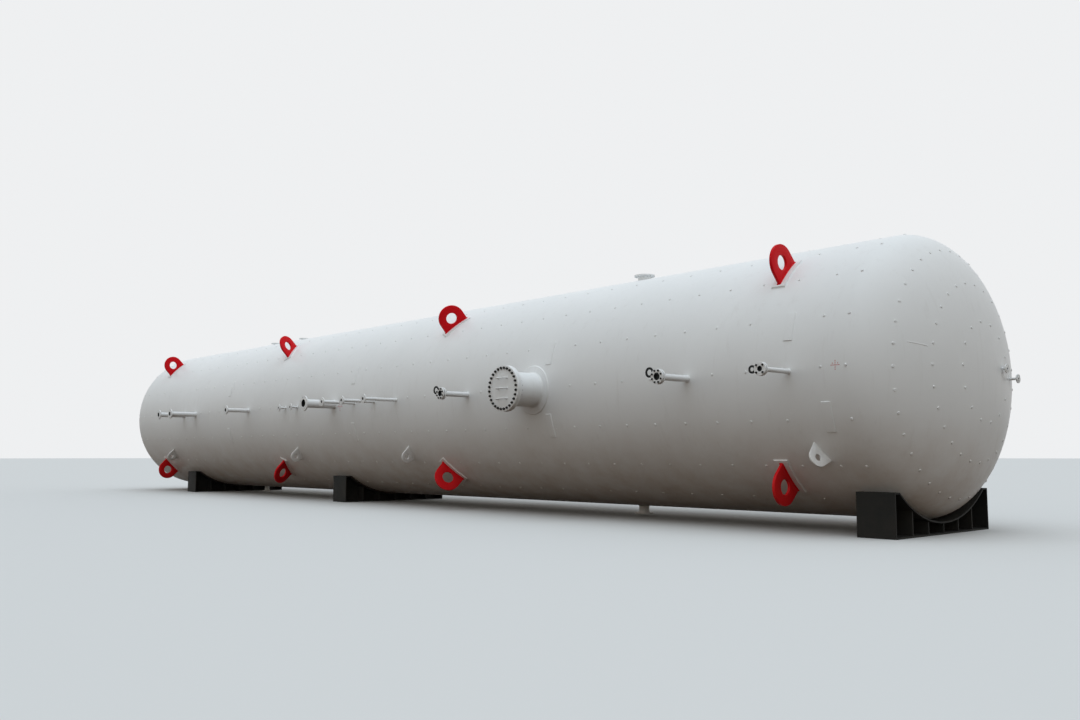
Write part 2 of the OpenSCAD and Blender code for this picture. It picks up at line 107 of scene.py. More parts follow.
# Degrees above the near side's middle line of the four rows of lifting lugs, and the way their plates turn
LUG_ROWS = {"upper_near": (47, 1), "lower_near": (-45, -1), "upper_far": (133, -1), "lower_far": (225, 1)}
# Turns of the lifting and the lashing plates about their own outward lines, from across the tank, degrees
LUG_TURNS = (0, -27, 27, 0)
LASH_TURNS = (20, 8, 8, -28)
# Rounding of the lifting and the lashing lugs' edges
LUG_EDGE, LASH_EDGE = 0.005, 0.003
# Legs of fillet welds: lifting lugs, lashing lugs, platform pads, manhole neck, its plate, head necks
LUG_LEG, LASH_LEG, PAD_LEG, MANHOLE_LEG, PLATE_LEG, HEAD_LEG = 0.014, 0.008, 0.006, 0.018, 0.013, 0.006
# Leg of a shell neck's weld: a least leg and a share of the neck's radius
NECK_LEG, NECK_LEG_SHARE = 0.006, 0.05

# Fastenings: a stud and how far it stands past the flanges, and its nuts
MANHOLE_STUD = {"diameter": 0.024, "thread": 0.034, "past_back": 0.030, "past_front": 0.032,
                "flats": 0.036, "nut_height": 0.020, "nut_bore": 0.023}
BLANK_STUD = {"diameter": 0.016, "thread": 0.024, "past_back": 0.020, "past_front": 0.022,
              "flats": 0.024, "nut_height": 0.014, "nut_bore": 0.015}

# Rings of clip nuts on the shell: one ring's place past the tank's middle, the steps from it, the end rings
CLIP_RING, CLIP_STEPS, CLIP_ENDS = 7.47, np.arange(-34, 7), (-11.0, 11.0)
# Rings of clip nuts on a head: radius, number, degrees of the first one
HEAD_CLIPS = ((1.558, 36, 0.0), (1.110, 27, 1.7), (0.62, 14, 5.0))
# How far clip nuts keep from plates and necks, from the cradles and from the head's necks
PLATE_CLEAR, CRADLE_CLEAR, HEAD_CLEAR = 0.05, 0.02, 0.09
# Painted centre marks: place past the tank's middle, degrees above the near side's middle line, size
CENTRE_MARKS = ((10.865, 1.2, 0.10), (-0.22, -1.6, 0.16))
# Widths of their dashes and ticks, and how far their paint stands proud of the shell and reaches into it
DASH_W, TICK_W, PAINT_RISE, PAINT_SUNK = 0.008, 0.006, 0.0004, -0.002
# Dressed trace of weld on the front head: degrees and distances from the axis of its ends, and its section
TRACE_TURN, TRACE_REACH = (11.9, 12.2), (1.42, 1.18)
TRACE_SECTION = np.array([(-0.008, -0.002), (0.008, -0.002), (0.004, 0.003), (-0.004, 0.003)])

# Finishes: material slot, colour as its name among the colours or as it is, and settings of the paint
FINISHES = {
    # How dark and brown a finish turns low on the tank stands for road dust, and also for painted shade and a
    # painted reflection of the warm ground below
    "tank_paint": ("tank_paint", "white", dict(wave=0.0015, dust_and_shade=0.7, streaks=0.10, tone=0.02)),
    "fitting_paint": ("tank_paint", "white", dict(dust_and_shade=0.65, streaks=0.10, tone=0.02, soft_edge=0.003)),
    "weld_paint": ("tank_paint", "white", dict(rough=0.38, grain=0.00012, grain_scale=140.0, dust_and_shade=0.7,
                                               tone=0.02)),
    "lug_paint": ("lug_paint", "red", dict(rough=0.40, dust_and_shade=0.06, chips=0.35, tone=0.06, shine=0.10)),
    "lug_weld_paint": ("lug_paint", "red", dict(rough=0.45, grain=0.0005, grain_scale=140.0, chips=0.3,
                                                tone=0.08, shine=0.10)),
    "mark_red": ("lug_paint", (0.62, 0.10, 0.11), dict(rough=0.6, tone=0.10)),
    "cradle_paint": ("cradle_paint", "black", dict(rough=0.55, dust_and_shade=0.05, chips=0.25, tone=0.15,
                                                   soft_edge=0.004, grain=0.0002)),
    "blackened_steel": ("bare_steel", "oxide", dict(rough=0.42, metallic=0.7, tone=0.15, grain=0.0002,
                                                    soft_edge=0.001)),
    "blank_steel": ("bare_steel", "black", dict(rough=0.60, tone=0.20, chips=0.3, grain=0.0002, shine=0.2)),
    "packing_rubber": ("packing", "rubber", dict(rough=0.75, dust_and_shade=0.3, tone=0.1, grain=0.0005,
                                                 grain_scale=90.0)),
}
# Solids that stay as they are, and their finishes
KEPT_SOLIDS = {
    "manhole_pad": "fitting_paint", "lug_pads_near": "fitting_paint", "lug_pads_far": "fitting_paint",
    "cradle_rear": "cradle_paint", "cradle_middle": "cradle_paint", "cradle_front": "cradle_paint",
    "cradle_packings": "packing_rubber",
}

# Stage: radius and sides of the floor, spread of the lamp's light in degrees, and the camera
FLOOR_R, FLOOR_SIDES, LAMP_SPREAD = 260, 96, 70
CAMERA_PLACE, CAMERA_RISE, CAMERA_TURN = (18.071, -12.045, 0.992), 0.0966, 0.8309
SENSOR_WIDTH, LENS, NEAREST, FURTHEST = 36.0, 32.48, 0.1, 600.0


def length(name, description, default):
    """Property for a length in metres."""
    return FloatProperty(name=name, description=description, default=default, unit="LENGTH")


def colour(name, description, default):
    """Property for a colour."""
    return FloatVectorProperty(name=name, description=description, default=default, subtype="COLOR")


class ShellSizes(bpy.types.PropertyGroup):
    """Sizes of the shell and its welds"""
    wall: length("Wall", "Wall of the shell and the heads", 0.028)
    skirt: length("Skirt", "Straight skirt of a head", 0.180)
    draw_in: length("Draw-in", "How far a girth weld draws the shell in", 0.0003)
    draw_reach: length("Draw-in reach", "How far the draw-in reaches along the tank", 0.08)
    bead_w: length("Bead width", "Width of a seam's weld bead", 0.026)
    bead_h: length("Bead height", "Height of a seam's weld bead", 0.0003)
    clip_pitch: length("Clip pitch", "Distance between rings of clip nuts", 0.533)
    clip_count: IntProperty(name="Clips in a ring", description="Clip nuts round the shell", default=18)
    clip_shift: FloatProperty(name="Clip shift", description="Degrees of clip nuts above the middle line",
                              default=1.0)
    clip_af: length("Clip nut", "Clip nut across flats", 0.028)
    clip_h: length("Clip nut height", "Height of a clip nut", 0.008)


class FittingSizes(bpy.types.PropertyGroup):
    """Sizes of necks, manhole, lugs and fastenings"""
    hub_l: length("Hub", "Length of the tapered hub behind a flange", 0.032)
    hub_w: length("Hub width", "How much wider than the pipe the hub's thick end is", 0.022)
    face_t: length("Raised face", "Height of a flange's raised face", 0.003)
    edge: length("Edge", "Rounding of machined edges", 0.0016)
    manhole_bore: length("Manhole bore", "Bore of the manhole neck", 0.500)
    manhole_wall: length("Manhole wall", "Wall of the manhole neck", 0.016)
    manhole_flange_t: length("Manhole flange", "Thickness of the manhole flange", 0.046)
    manhole_pcd: length("Manhole bolt circle", "Bolt circle of the manhole", 0.632)
    manhole_bolts: IntProperty(name="Manhole bolts", description="Number of manhole bolts", default=28)
    manhole_pad_t: length("Manhole pad", "Thickness of the plate round the manhole", 0.016)
    grab_d: length("Grab bar", "Diameter of a grab bar", 0.020)
    grab_bend: length("Grab bend", "Bend radius at the middle of the rod", 0.024)
    lug_h: length("Lug height", "Height of a lifting eye above the shell", 0.174)
    lug_r: length("Lug radius", "Outer radius of a lifting eye", 0.240)
    lug_hole: length("Lug hole", "Diameter of the lifting eye's hole", 0.200)
    lug_foot: length("Lug foot", "Width of a lifting lug at its foot", 0.484)
    lug_t: length("Lug plate", "Thickness of a lifting lug", 0.040)
    lug_pad_t: length("Lug pad", "Thickness of the pad under a lug", 0.020)
    lug_pad_w: length("Lug pad width", "Width of a lug's pad round the tank", 0.570)
    lug_pad_l: length("Lug pad length", "Length of a lug's pad along the tank", 0.200)
    lash_angle: FloatProperty(name="Lashing angle", default=32.5,
                              description="Degrees of the lashing lugs below the middle line")
    lash_h: length("Lashing height", "Height of a lashing eye above the shell", 0.120)
    lash_r: length("Lashing radius", "Outer radius of a lashing eye", 0.120)
    lash_hole: length("Lashing hole", "Diameter of a lashing eye's hole", 0.086)
    lash_foot: length("Lashing foot", "Width of a lashing lug at its foot", 0.300)
    lash_t: length("Lashing plate", "Thickness of a lashing lug", 0.026)
    platform_l: length("Platform pad", "Length of a platform pad round the tank", 0.370)
    platform_w: length("Platform pad width", "Width of a platform pad along the tank", 0.120)
    platform_t: length("Platform pad plate", "Thickness of a platform pad", 0.010)


class PaintColours(bpy.types.PropertyGroup):
    """Colours of the finishes"""
    white: colour("White paint", "Paint of the tank", (0.800, 0.815, 0.820))
    # This colour is laid low on the tank: road dust, and also painted shade and a painted reflection of the
    # warm ground below
    dust_and_shade: colour("Road dust", "Dust low on the tank", (0.42, 0.31, 0.22))
    red: colour("Lug red", "Paint of the lifting lugs", (0.68, 0.004, 0.010))
    black: colour("Cradle black", "Paint of the cradles", (0.018, 0.020, 0.020))
    oxide: colour("Blackened steel", "Studs, nuts and blanks", (0.040, 0.038, 0.037))
    rubber: colour("Packing rubber", "Packing under the tank", (0.035, 0.034, 0.033))


class StageSettings(bpy.types.PropertyGroup):
    """Floor, sky and lamp"""
    zenith: colour("Zenith", "Light of the sky overhead", (0.56, 0.64, 0.74))
    horizon: colour("Horizon", "Light of the sky at the horizon", (0.72, 0.67, 0.58))
    floor: colour("Floor", "Floor as it is seen", (0.66, 0.66, 0.65))
    bounce: colour("Bounce", "Floor as it lights the tank", (0.08, 0.048, 0.03))
    backdrop: colour("Backdrop", "Backdrop as it is seen", (0.86, 0.87, 0.88))
    lamp: colour("Lamp colour", "Colour of the soft lamp", (0.88, 0.96, 1.0))
    lamp_strength: FloatProperty(name="Lamp", description="Strength of the soft lamp", default=1.15)
    lamp_tilt: FloatProperty(name="Lamp tilt", description="Degrees of the lamp from overhead", default=14.0)
    lamp_turn: FloatProperty(name="Lamp turn", default=-40.0,
                             description="Degrees of the lamp's tilt from the near side towards the rear end")


def quads(ids, close_rows=False, close_cols=False):
    """Four-sided faces between neighbouring lines of a grid of vertex numbers."""
    if close_rows:
        ids = np.vstack([ids, ids[:1]])
    if close_cols:
        ids = np.hstack([ids, ids[:, :1]])
    corners = [ids[:-1, :-1], ids[1:, :-1], ids[1:, 1:], ids[:-1, 1:]]
    return np.stack(corners, -1).reshape(-1, 4)


def bridge(loop, other):
    """Four-sided faces between two closed loops of vertex numbers."""
    return quads(np.vstack([loop, other]), close_cols=True)


def numbers(points):
    """Vertex numbers of a grid of points, row by row."""
    return np.arange(points.shape[0] * points.shape[1]).reshape(points.shape[:2])


def ring_part(points):
    """A grid of points closed both ways, as (points, faces)."""
    return points.reshape(-1, 3), [quads(numbers(points), True, True)]


def rod_part(points):
    """A grid of points closed across its columns, with one face over its first row and one over its last."""
    ids = numbers(points)
    return points.reshape(-1, 3), [quads(ids, close_cols=True), ids[:1], ids[-1:, ::-1]]


def join(parts):
    """Several (points, faces) as one: each part's vertex numbers move up by the points before it."""
    points, faces, count = [], [], 0
    for part_points, part_faces in parts:
        faces += [f + count for f in part_faces]
        points.append(part_points)
        count += len(part_points)
    return np.vstack(points), faces


def placed(part, origins, ways):
    """Copies of a part: a point (a, b, c) goes to origin + a * way 1 + b * way 2 + c * way 3. A single set of
    ways serves every origin."""
    points, faces = part
    origins = np.atleast_2d(origins)
    ways = np.broadcast_to(ways, (len(origins), 3, 3)).copy()
    copies = origins[:, None, :] + np.einsum("pa,nai->npi", points, ways)
    shift = np.arange(len(origins)) * len(points)
    grown = [(f[None] + shift[:, None, None]).reshape(-1, f.shape[1]) for f in faces]
    return copies.reshape(-1, 3), grown


def build(name, parts, finish_name, replaces=()):
    """Makes one piece of closed parts: faces turned outward, smooth but for its sharp edges."""
    points, faces = join(parts)
    used, renumbered = np.unique(np.concatenate([f.ravel() for f in faces]), return_inverse=True)
    sizes = np.concatenate([np.full(len(f), f.shape[1]) for f in faces])
    starts = np.concatenate([[0], np.cumsum(sizes)[:-1]])
    mesh = bpy.data.meshes.new(name)
    mesh.vertices.add(len(used))
    mesh.vertices.foreach_set("co", points[used].astype(np.float32).ravel())
    mesh.loops.add(len(renumbered))
    mesh.loops.foreach_set("vertex_index", renumbered.astype(np.int32))
    mesh.polygons.add(len(sizes))
    mesh.polygons.foreach_set("loop_start", starts.astype(np.int32))
    mesh.update(calc_edges=True)
    mesh.validate()
    work = bmesh.new()
    work.from_mesh(mesh)
    bmesh.ops.recalc_face_normals(work, faces=work.faces)
    work.to_mesh(mesh)
    work.free()
    mesh.shade_smooth()
    mesh.set_sharp_from_angle(angle=math.radians(SHARP))
    mesh.materials.append(finish(finish_name))
    piece = bpy.data.objects.new(name, mesh)
    bpy.context.scene.collection.objects.link(piece)
    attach(piece, "root")
    if replaces:
        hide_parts(*replaces)
    return piece


def solids_of(node, axis=0, gap=0.1):
    """Lowest and highest corners of a node's separate solids: its points along an axis, cut at gaps."""
    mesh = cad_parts[node].data
    points = np.empty(len(mesh.vertices) * 3)
    mesh.vertices.foreach_get("co", points)
    points = points.reshape(-1, 3)
    points = points[np.argsort(points[:, axis])]
    cuts = np.where(np.diff(points[:, axis]) > gap)[0] + 1
    return [(part.min(0), part.max(0)) for part in np.split(points, cuts)]


def on_shell(x, angle, radius):
    """Points at x, at an angle above the near side's middle line and at a radius from the tank's axis."""
    x, angle, radius = np.broadcast_arrays(x, angle, radius)
    return np.stack([x, -radius * np.cos(angle), AXIS_Z + radius * np.sin(angle)], -1)


def outward(angle):
    """Direction away from the tank's axis at an angle above the near side's middle line."""
    return np.stack([0 * angle, -np.cos(angle), np.sin(angle)], -1)


def around(angle):
    """Direction round the tank at such an angle: upwards on the near side."""
    return np.stack([0 * angle, np.sin(angle), np.cos(angle)], -1)


def unit(vectors):
    """Vectors divided by their lengths."""
    return vectors / np.linalg.norm(vectors, axis=1)[:, None]


def drawn_radius(x):
    """Radius of the shell at x: the plain radius less a bell curve of the draw-in at every girth seam."""
    sizes = bpy.context.scene.tank_shell
    bells = np.exp(-((np.asarray(x)[..., None] - SEAMS) / sizes.draw_reach) ** 2)
    return SHELL_R - sizes.draw_in * bells.sum(-1)


def rounded(corners, radius, steps=3):
    """A closed outline with its corners rounded: each corner gives way to a quadratic curve of that reach."""
    corners = np.asarray(corners, float)
    reach = np.broadcast_to(radius, len(corners))[:, None]
    start = corners + reach * unit(np.roll(corners, 1, 0) - corners)
    end = corners + reach * unit(np.roll(corners, -1, 0) - corners)
    t = np.linspace(0, 1, steps + 1)[None, :, None]
    curve = (1 - t) ** 2 * start[:, None] + 2 * t * (1 - t) * corners[:, None] + t ** 2 * end[:, None]
    plain = reach[:, 0] == 0
    return np.concatenate([c[:1] if flat else c for c, flat in zip(curve, plain)])


def round_turns(count, first=0.0):
    """Angles of equal steps round a circle; first is how many steps the first one is past zero."""
    return (np.arange(count) + first) * 2 * np.pi / count


def turned(radius, height, turn):
    """Points at radii and heights turned about the local outward line: rows x columns x 3."""
    return np.stack([radius * np.cos(turn), radius * np.sin(turn), height + 0 * turn], -1)


def revolved(profile, columns):
    """Points of a profile of (radius, height) turned about the local outward line."""
    return turned(profile[:, :1], profile[:, 1:], round_turns(columns))


def lathe(corners, radius, columns=64):
    """Closed ring turned from an outline of (radius, height) with rounded corners."""
    return ring_part(revolved(rounded(corners, radius), columns))


def holed(grid, windows, close_rows=False, rings=4):
    """A grid closed across its columns, with a round hole in each window of it.

    A window is (first row, last row, first column, last column, to_plane, from_plane, hole radius). Its
    outline is laid in the plane across the hole's own axis, every point of it moves in equal steps along
    its own ray to the hole's circle, and the steps are lifted back on the surface. Returns points, faces
    and each hole's rim in order of angle.
    """
    rows, cols = grid.shape[:2]
    ids = numbers(grid)
    keep = np.ones((rows if close_rows else rows - 1, cols), bool)
    points, faces, rims, count = [grid.reshape(-1, 3)], [], [], rows * cols
    for low, high, left, right, to_plane, from_plane, hole in windows:
        keep[low:high, np.arange(left, right) % cols] = False
        tall, wide = high - low, right - left
        row = np.concatenate([np.full(wide, low), np.arange(low, high), np.full(wide, high),
                              np.arange(high, low, -1)])
        col = np.concatenate([np.arange(left, right), np.full(tall, right), np.arange(right, left, -1),
                              np.full(tall, left)])
        loop = ids[row, col % cols]
        edge = to_plane(grid[row, col % cols])
        circle = hole * edge / np.linalg.norm(edge, axis=1)[:, None]
        share = (np.arange(1, rings + 1) / rings)[:, None, None]
        new = count + np.arange(rings * len(loop)).reshape(rings, -1)
        points.append(from_plane(edge + share * (circle - edge)).reshape(-1, 3))
        faces.append(bridge(loop, new))
        rims.append(new[-1][np.argsort(np.arctan2(circle[:, 1], circle[:, 0]))])
        count += new.size
    faces.append(quads(ids, close_rows, True).reshape(-1, cols, 4)[keep])
    return np.vstack(points), faces, rims


def two_sheets(outer, inner, outer_windows, inner_windows, poles=()):
    """A closed wall of an outer and an inner sheet: holes and open ends are bridged, poles are fans."""
    outer_points, outer_faces, outer_rims = holed(outer, outer_windows)
    inner_points, inner_faces, inner_rims = holed(inner, inner_windows)
    shift, ids = len(outer_points), numbers(outer)
    faces = outer_faces + [f + shift for f in inner_faces]
    faces += [bridge(a, b + shift) for a, b in zip(outer_rims, inner_rims)]
    faces.append(bridge(ids[0], ids[0] + shift))
    points = [outer_points, inner_points]
    if len(poles):
        top = shift + len(inner_points) + np.arange(2)
        for pole, last in zip(top, (ids[-1], ids[-1] + shift)):
            faces.append(np.stack([last, np.roll(last, -1), np.full(len(last), pole)], -1))
        points.append(np.asarray(poles))
    else:
        faces.append(bridge(ids[-1], ids[-1] + shift))
    return np.vstack(points), faces


def fillet_profile(leg):
    """Fillet weld from (0, leg) to (leg, 0): halfway between a straight line and a hollow quarter circle,
    closed below the plate."""
    turn = np.linspace(0, np.pi / 2, 6)
    hollow = leg * np.stack([1 - np.cos(turn), 1 - np.sin(turn)], -1)
    share = (turn / (np.pi / 2))[:, None]
    straight = leg * np.hstack([share, 1 - share])
    back = np.array([[leg, -SUNK], [-SUNK, -SUNK], [-SUNK, leg]])
    return np.vstack([(hollow + straight) / 2, back])


def bead_round_neck(neck, leg, base, surface):
    """Fillet weld round a neck: its profile of (distance out, height) is turned about the neck, and every
    point stands its height above the surface there."""
    profile = fillet_profile(leg)
    turn = np.linspace(0, 2 * np.pi, 96 if neck["r"] > 0.1 else 48, endpoint=False)[:, None]
    out = base + profile[:, 0]
    u, v = out * np.cos(turn), out * np.sin(turn)
    height = surface(u, v) + profile[:, 1]
    return ring_part(neck["origin"] + np.stack([u, v, height], -1) @ neck["way"])


def rectangle_path(half_a, half_b, corner, steps=10):
    """Rounded rectangle: four quarter circles joined by straight runs, as points and outward directions."""
    turn = np.arange(4)[:, None] * np.pi / 2 + np.linspace(0, np.pi / 2, 5)
    out = np.stack([np.cos(turn), np.sin(turn)], -1)
    signs = np.array([[1, 1], [-1, 1], [-1, -1], [1, -1]])[:, None, :]
    arcs = signs * np.array([half_a - corner, half_b - corner]) + corner * out
    start, end = arcs[:, -1:], np.roll(arcs, -1, 0)[:, :1]
    runs = start + (np.arange(1, steps) / steps)[None, :, None] * (end - start)
    ways = np.broadcast_to(out[:, -1:], runs.shape)
    return np.concatenate([arcs, runs], 1).reshape(-1, 2), np.concatenate([out, ways], 1).reshape(-1, 2)


def bead_round_plate(x, angle, radius, half_a, half_b, turn, leg):
    """Fillet weld round a plate's foot on the shell: a rounded rectangle in the developed surface, turned
    about its middle, carries the profile outward and up; the result is wrapped round the radius."""
    path, ways = rectangle_path(half_a, half_b, 0.004)
    spin = np.array([[math.cos(turn), math.sin(turn)], [-math.sin(turn), math.cos(turn)]])
    profile = fillet_profile(leg)
    flat = (path @ spin)[:, None] + profile[None, :, :1] * (ways @ spin)[:, None]
    return ring_part(on_shell(x + flat[..., 0], angle + flat[..., 1] / radius, radius + profile[:, 1]))


def seam_profile(width, height):
    """Low cap of a butt weld: a parabola across its width, closed below the plate."""
    across = np.linspace(-1, 1, 7)
    cap = np.stack([across * width / 2, height * (1 - across ** 2)], -1)
    return np.vstack([cap, [[width / 2, -BEAD_SUNK], [-width / 2, -BEAD_SUNK]]])


def hexagon(turn, across_flats):
    """Radius of a hexagon at an angle: half its width over the cosine of the angle from the nearest flat."""
    return across_flats / 2 / np.cos((turn + np.pi / 6) % (np.pi / 3) - np.pi / 6)


def nut(across_flats, height, bore, base, columns=24):
    """Hexagon nut standing on height base: the hexagon cut by a cone at both ends, round a threaded hole."""
    turn = round_turns(columns)
    steps = np.array([0, 0.25, 0.5])
    chamfer = across_flats * NUT_CHAMFER
    cone = across_flats / 2 * NUT_FACE + steps[:, None] * across_flats * NUT_CHAMFER
    low = np.minimum(hexagon(turn, across_flats), cone)
    wall = np.full(columns, bore / 2)
    rise = chamfer * steps / math.tan(math.radians(60))
    level = base + np.concatenate([[0], rise, height - rise[::-1], [height]])
    return ring_part(turned(np.vstack([wall, low, low[::-1], wall]), level[:, None], turn))


def stud(diameter, low, high, thread, columns=12):
    """Stud from low to high: a rod with chamfered ends, and round grooves for the thread at each end."""
    pitch = diameter * PITCH_SHARE
    groove = np.arange(int(thread / pitch) * 2 + 1)
    end = np.stack([diameter / 2 - (groove % 2) * pitch * GROOVE_SHARE, pitch / 2 * groove], -1)
    tip = np.array([[diameter / 2 - STUD_CHAMFER, 0], [diameter / 2, STUD_CHAMFER]])
    one = np.vstack([tip, end + [0, TIP_LENGTH]])
    profile = np.vstack([one + [0, low], (one * [1, -1] + [0, high])[::-1]])
    return rod_part(revolved(profile, columns))


def fastened(neck, circle, count, back, front, sizes):
    """Studs through a joint from back to front with a nut at each end, on a bolt circle of that radius."""
    turn = round_turns(count, 0.5)
    spots = neck["origin"] + np.stack([circle * np.cos(turn), 0 * turn, circle * np.sin(turn)], -1)
    flats, height, bore = sizes["flats"], sizes["nut_height"], sizes["nut_bore"]
    parts = [stud(sizes["diameter"], back - sizes["past_back"], front + sizes["past_front"], sizes["thread"]),
             nut(flats, height, bore, front), nut(flats, height, bore, back - height)]
    return [placed(part, spots, neck["way"]) for part in parts]


def neck_at(node, low, high, way, origin):
    """A flanged neck: its pipe's sizes by the flange's diameter, and its two ends along its outward line."""
    across = (high - low) @ np.abs(way[0])
    row = PIPES[np.argmin(np.abs(PIPES[:, 2] / 1000 - across))] / 1000
    start, face = sorted([(low - origin) @ way[2], (high - origin) @ way[2]])
    sizes = dict(zip(PIPE_SIZES, row))
    sizes["bolts"] = round(row[4] * 1000)
    return {**sizes, "node": node, "origin": origin, "way": way, "r": row[1] / 2, "face": face,
            "start": start}


def shell_necks():
    """All flanged necks of the shell, from their solids' boxes."""
    sets = [(f"side_nozzle_{k}", SIDE_WAY) for k in range(1, 11)]
    sets += [("short_couplings", SIDE_WAY), ("top_nozzles", TOP_WAY), ("bottom_nozzles", BOTTOM_WAY)]
    return [neck_at(node, low, high, way, np.array([(low[0] + high[0]) / 2, 0, AXIS_Z]))
            for node, way in sets for low, high in solids_of(node)]


def head_necks():
    """The two small necks of the front head."""
    return [neck_at("head_nozzles", low, high, HEAD_WAY, np.append(0, ((low + high) / 2)[1:]))
            for low, high in solids_of("head_nozzles", axis=1)]


def manhole():
    """Place and radii of the manhole neck, its joint and its cover's face, measured from the tank's axis."""
    sizes = bpy.context.scene.tank_fittings
    low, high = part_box("manhole_cover")
    pad_low, pad_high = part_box("manhole_pad")
    return {"origin": np.array([(low.x + high.x) / 2, 0, AXIS_Z]), "way": SIDE_WAY, "face": -low.y,
            "joint": -high.y, "rim": (high.x - low.x) / 2, "r": sizes.manhole_bore / 2 + sizes.manhole_wall,
            "pad_r": (pad_high.x - pad_low.x) / 2}


def hole_radius(neck):
    """The wall's hole ends in the middle of the pipe's own wall, so no gap shows from either side."""
    if "pipe" not in neck:
        return neck["r"] - bpy.context.scene.tank_fittings.manhole_wall / 2
    return (neck["bore"] + neck["pipe"]) / 4


def window_reach(neck):
    """Half the length of a neck's window along the tank: a share of its hole and a margin."""
    return HOLE_SHARE * hole_radius(neck) + HOLE_MARGIN


def shell_window(neck, lines, radius_at):
    """Window of a course's grid round a neck, on the sheet that has that radius; its plane is across the
    neck's own axis."""
    centre, way, hole, reach = neck["origin"], neck["way"], hole_radius(neck), window_reach(neck)
    middle = round(math.degrees(math.atan2(way[2][2], -way[2][1])) / SHELL_STEP) % SHELL_LINES
    half = math.ceil(math.degrees(math.asin(HOLE_SHARE * hole / SHELL_R)) / SHELL_STEP)
    first, last = (int(np.argmin(np.abs(lines - (centre[0] + side * reach)))) for side in (-1, 1))

    def to_plane(points):
        """Distances of points from the neck's axis, along its two directions across."""
        return (points - centre) @ way[:2].T

    def from_plane(place):
        """Points on the sheet: their height is the other side of a right triangle on the radius."""
        height = np.sqrt(radius_at(centre[0] + place[..., 0]) ** 2 - place[..., 1] ** 2)
        return centre + np.concatenate([place, height[..., None]], -1) @ way

    return first, last, middle - half, middle + half, to_plane, from_plane, hole


def course_lines(start, end, necks):
    """Places of a course's girth lines: close together at the seams and over the necks' windows."""
    near = np.array(NEAR_SEAM)
    marks = [start + near, end - near]
    for neck in necks:
        reach = window_reach(neck)
        marks.append(neck["origin"][0] + np.linspace(-reach, reach, 2 * math.ceil(reach / WINDOW_GAP) + 1))
    taken = np.unique(np.round(np.concatenate(marks), 5))
    for neck, own in zip(necks, marks[2:]):
        inside = np.abs(taken - neck["origin"][0]) < window_reach(neck) - 1e-4
        taken = taken[~inside | np.isin(taken, np.round(own, 5))]
    extra = [np.linspace(line, line + gap, math.ceil(gap / LINE_GAP) + 1)[1:-1]
             for line, gap in zip(taken, np.diff(taken)) if gap > WIDE_GAP]
    return np.sort(np.concatenate([taken] + extra))


class TANK_OT_courses(bpy.types.Operator):
    """Smooth skins of the nine ring courses, with their necks' holes"""
    bl_idname = "tank.courses"
    bl_label = "Ring courses"

    def execute(self, context):
        inner_r = SHELL_R - context.scene.tank_shell.wall
        necks = shell_necks() + [manhole()]
        angles = np.radians(np.arange(0, 360, SHELL_STEP))
        for name, start, end in zip(COURSES, SEAMS, SEAMS[1:]):
            own = [n for n in necks if start < n["origin"][0] < end]
            lines = course_lines(start, end, own)
            outer = on_shell(lines[:, None], angles, drawn_radius(lines)[:, None])
            inner = on_shell(lines[:, None], angles, inner_r)
            part = two_sheets(outer, inner, [shell_window(n, lines, drawn_radius) for n in own],
                              [shell_window(n, lines, lambda x: inner_r) for n in own])
            build(name + "_skin", [part], "tank_paint", [name])
        return {"FINISHED"}


def dish_depth():
    """Depth of a head's dish beyond its skirt."""
    return HEAD_TIP - bpy.context.scene.tank_shell.skirt


def head_profile(radius, depth, skirt_lines, dish_angles):
    """Distances past the seam and radii of a head: a straight skirt, then a quarter of an ellipse."""
    along = np.concatenate([skirt_lines[:-1], skirt_lines[-1] + depth * np.sin(dish_angles)])
    across = np.concatenate([np.full(len(skirt_lines) - 1, radius), radius * np.cos(dish_angles)])
    return along, across


def dish_height(rho, radius, depth):
    """Distance of the dish past the front head's seam at a radius from the axis: an ellipse on the skirt."""
    skirt = bpy.context.scene.tank_shell.skirt
    return skirt + depth * np.sqrt(np.maximum(1 - (rho / radius) ** 2, 0))


def head_window(neck, across, radius, depth):
    """Window of the front head's grid round a small neck; its plane is across the tank's axis."""
    offset = neck["origin"][1:] - [0, AXIS_Z]
    rho = np.linalg.norm(offset)
    middle = math.atan2(offset[1], -offset[0]) / math.radians(SHELL_STEP)
    half = HEAD_MARGIN / rho / math.radians(SHELL_STEP)
    first = int(np.max(np.where(across > rho + HEAD_MARGIN)))
    last = int(np.min(np.where(across < rho - HEAD_MARGIN)))
    left = math.floor(middle - half) % SHELL_LINES
    right = left + math.ceil(2 * half) + 1

    def to_plane(points):
        """Distances of points from the neck's axis, across the tank and upwards."""
        return points[..., 1:] - neck["origin"][1:]

    def from_plane(spread):
        """Points on the dish at those distances."""
        place = spread + neck["origin"][1:]
        rho = np.hypot(place[..., 0], place[..., 1] - AXIS_Z)
        return np.concatenate([(SEAMS[-1] + dish_height(rho, radius, depth))[..., None], place], -1)

    return first, last, left, right, to_plane, from_plane, hole_radius(neck)


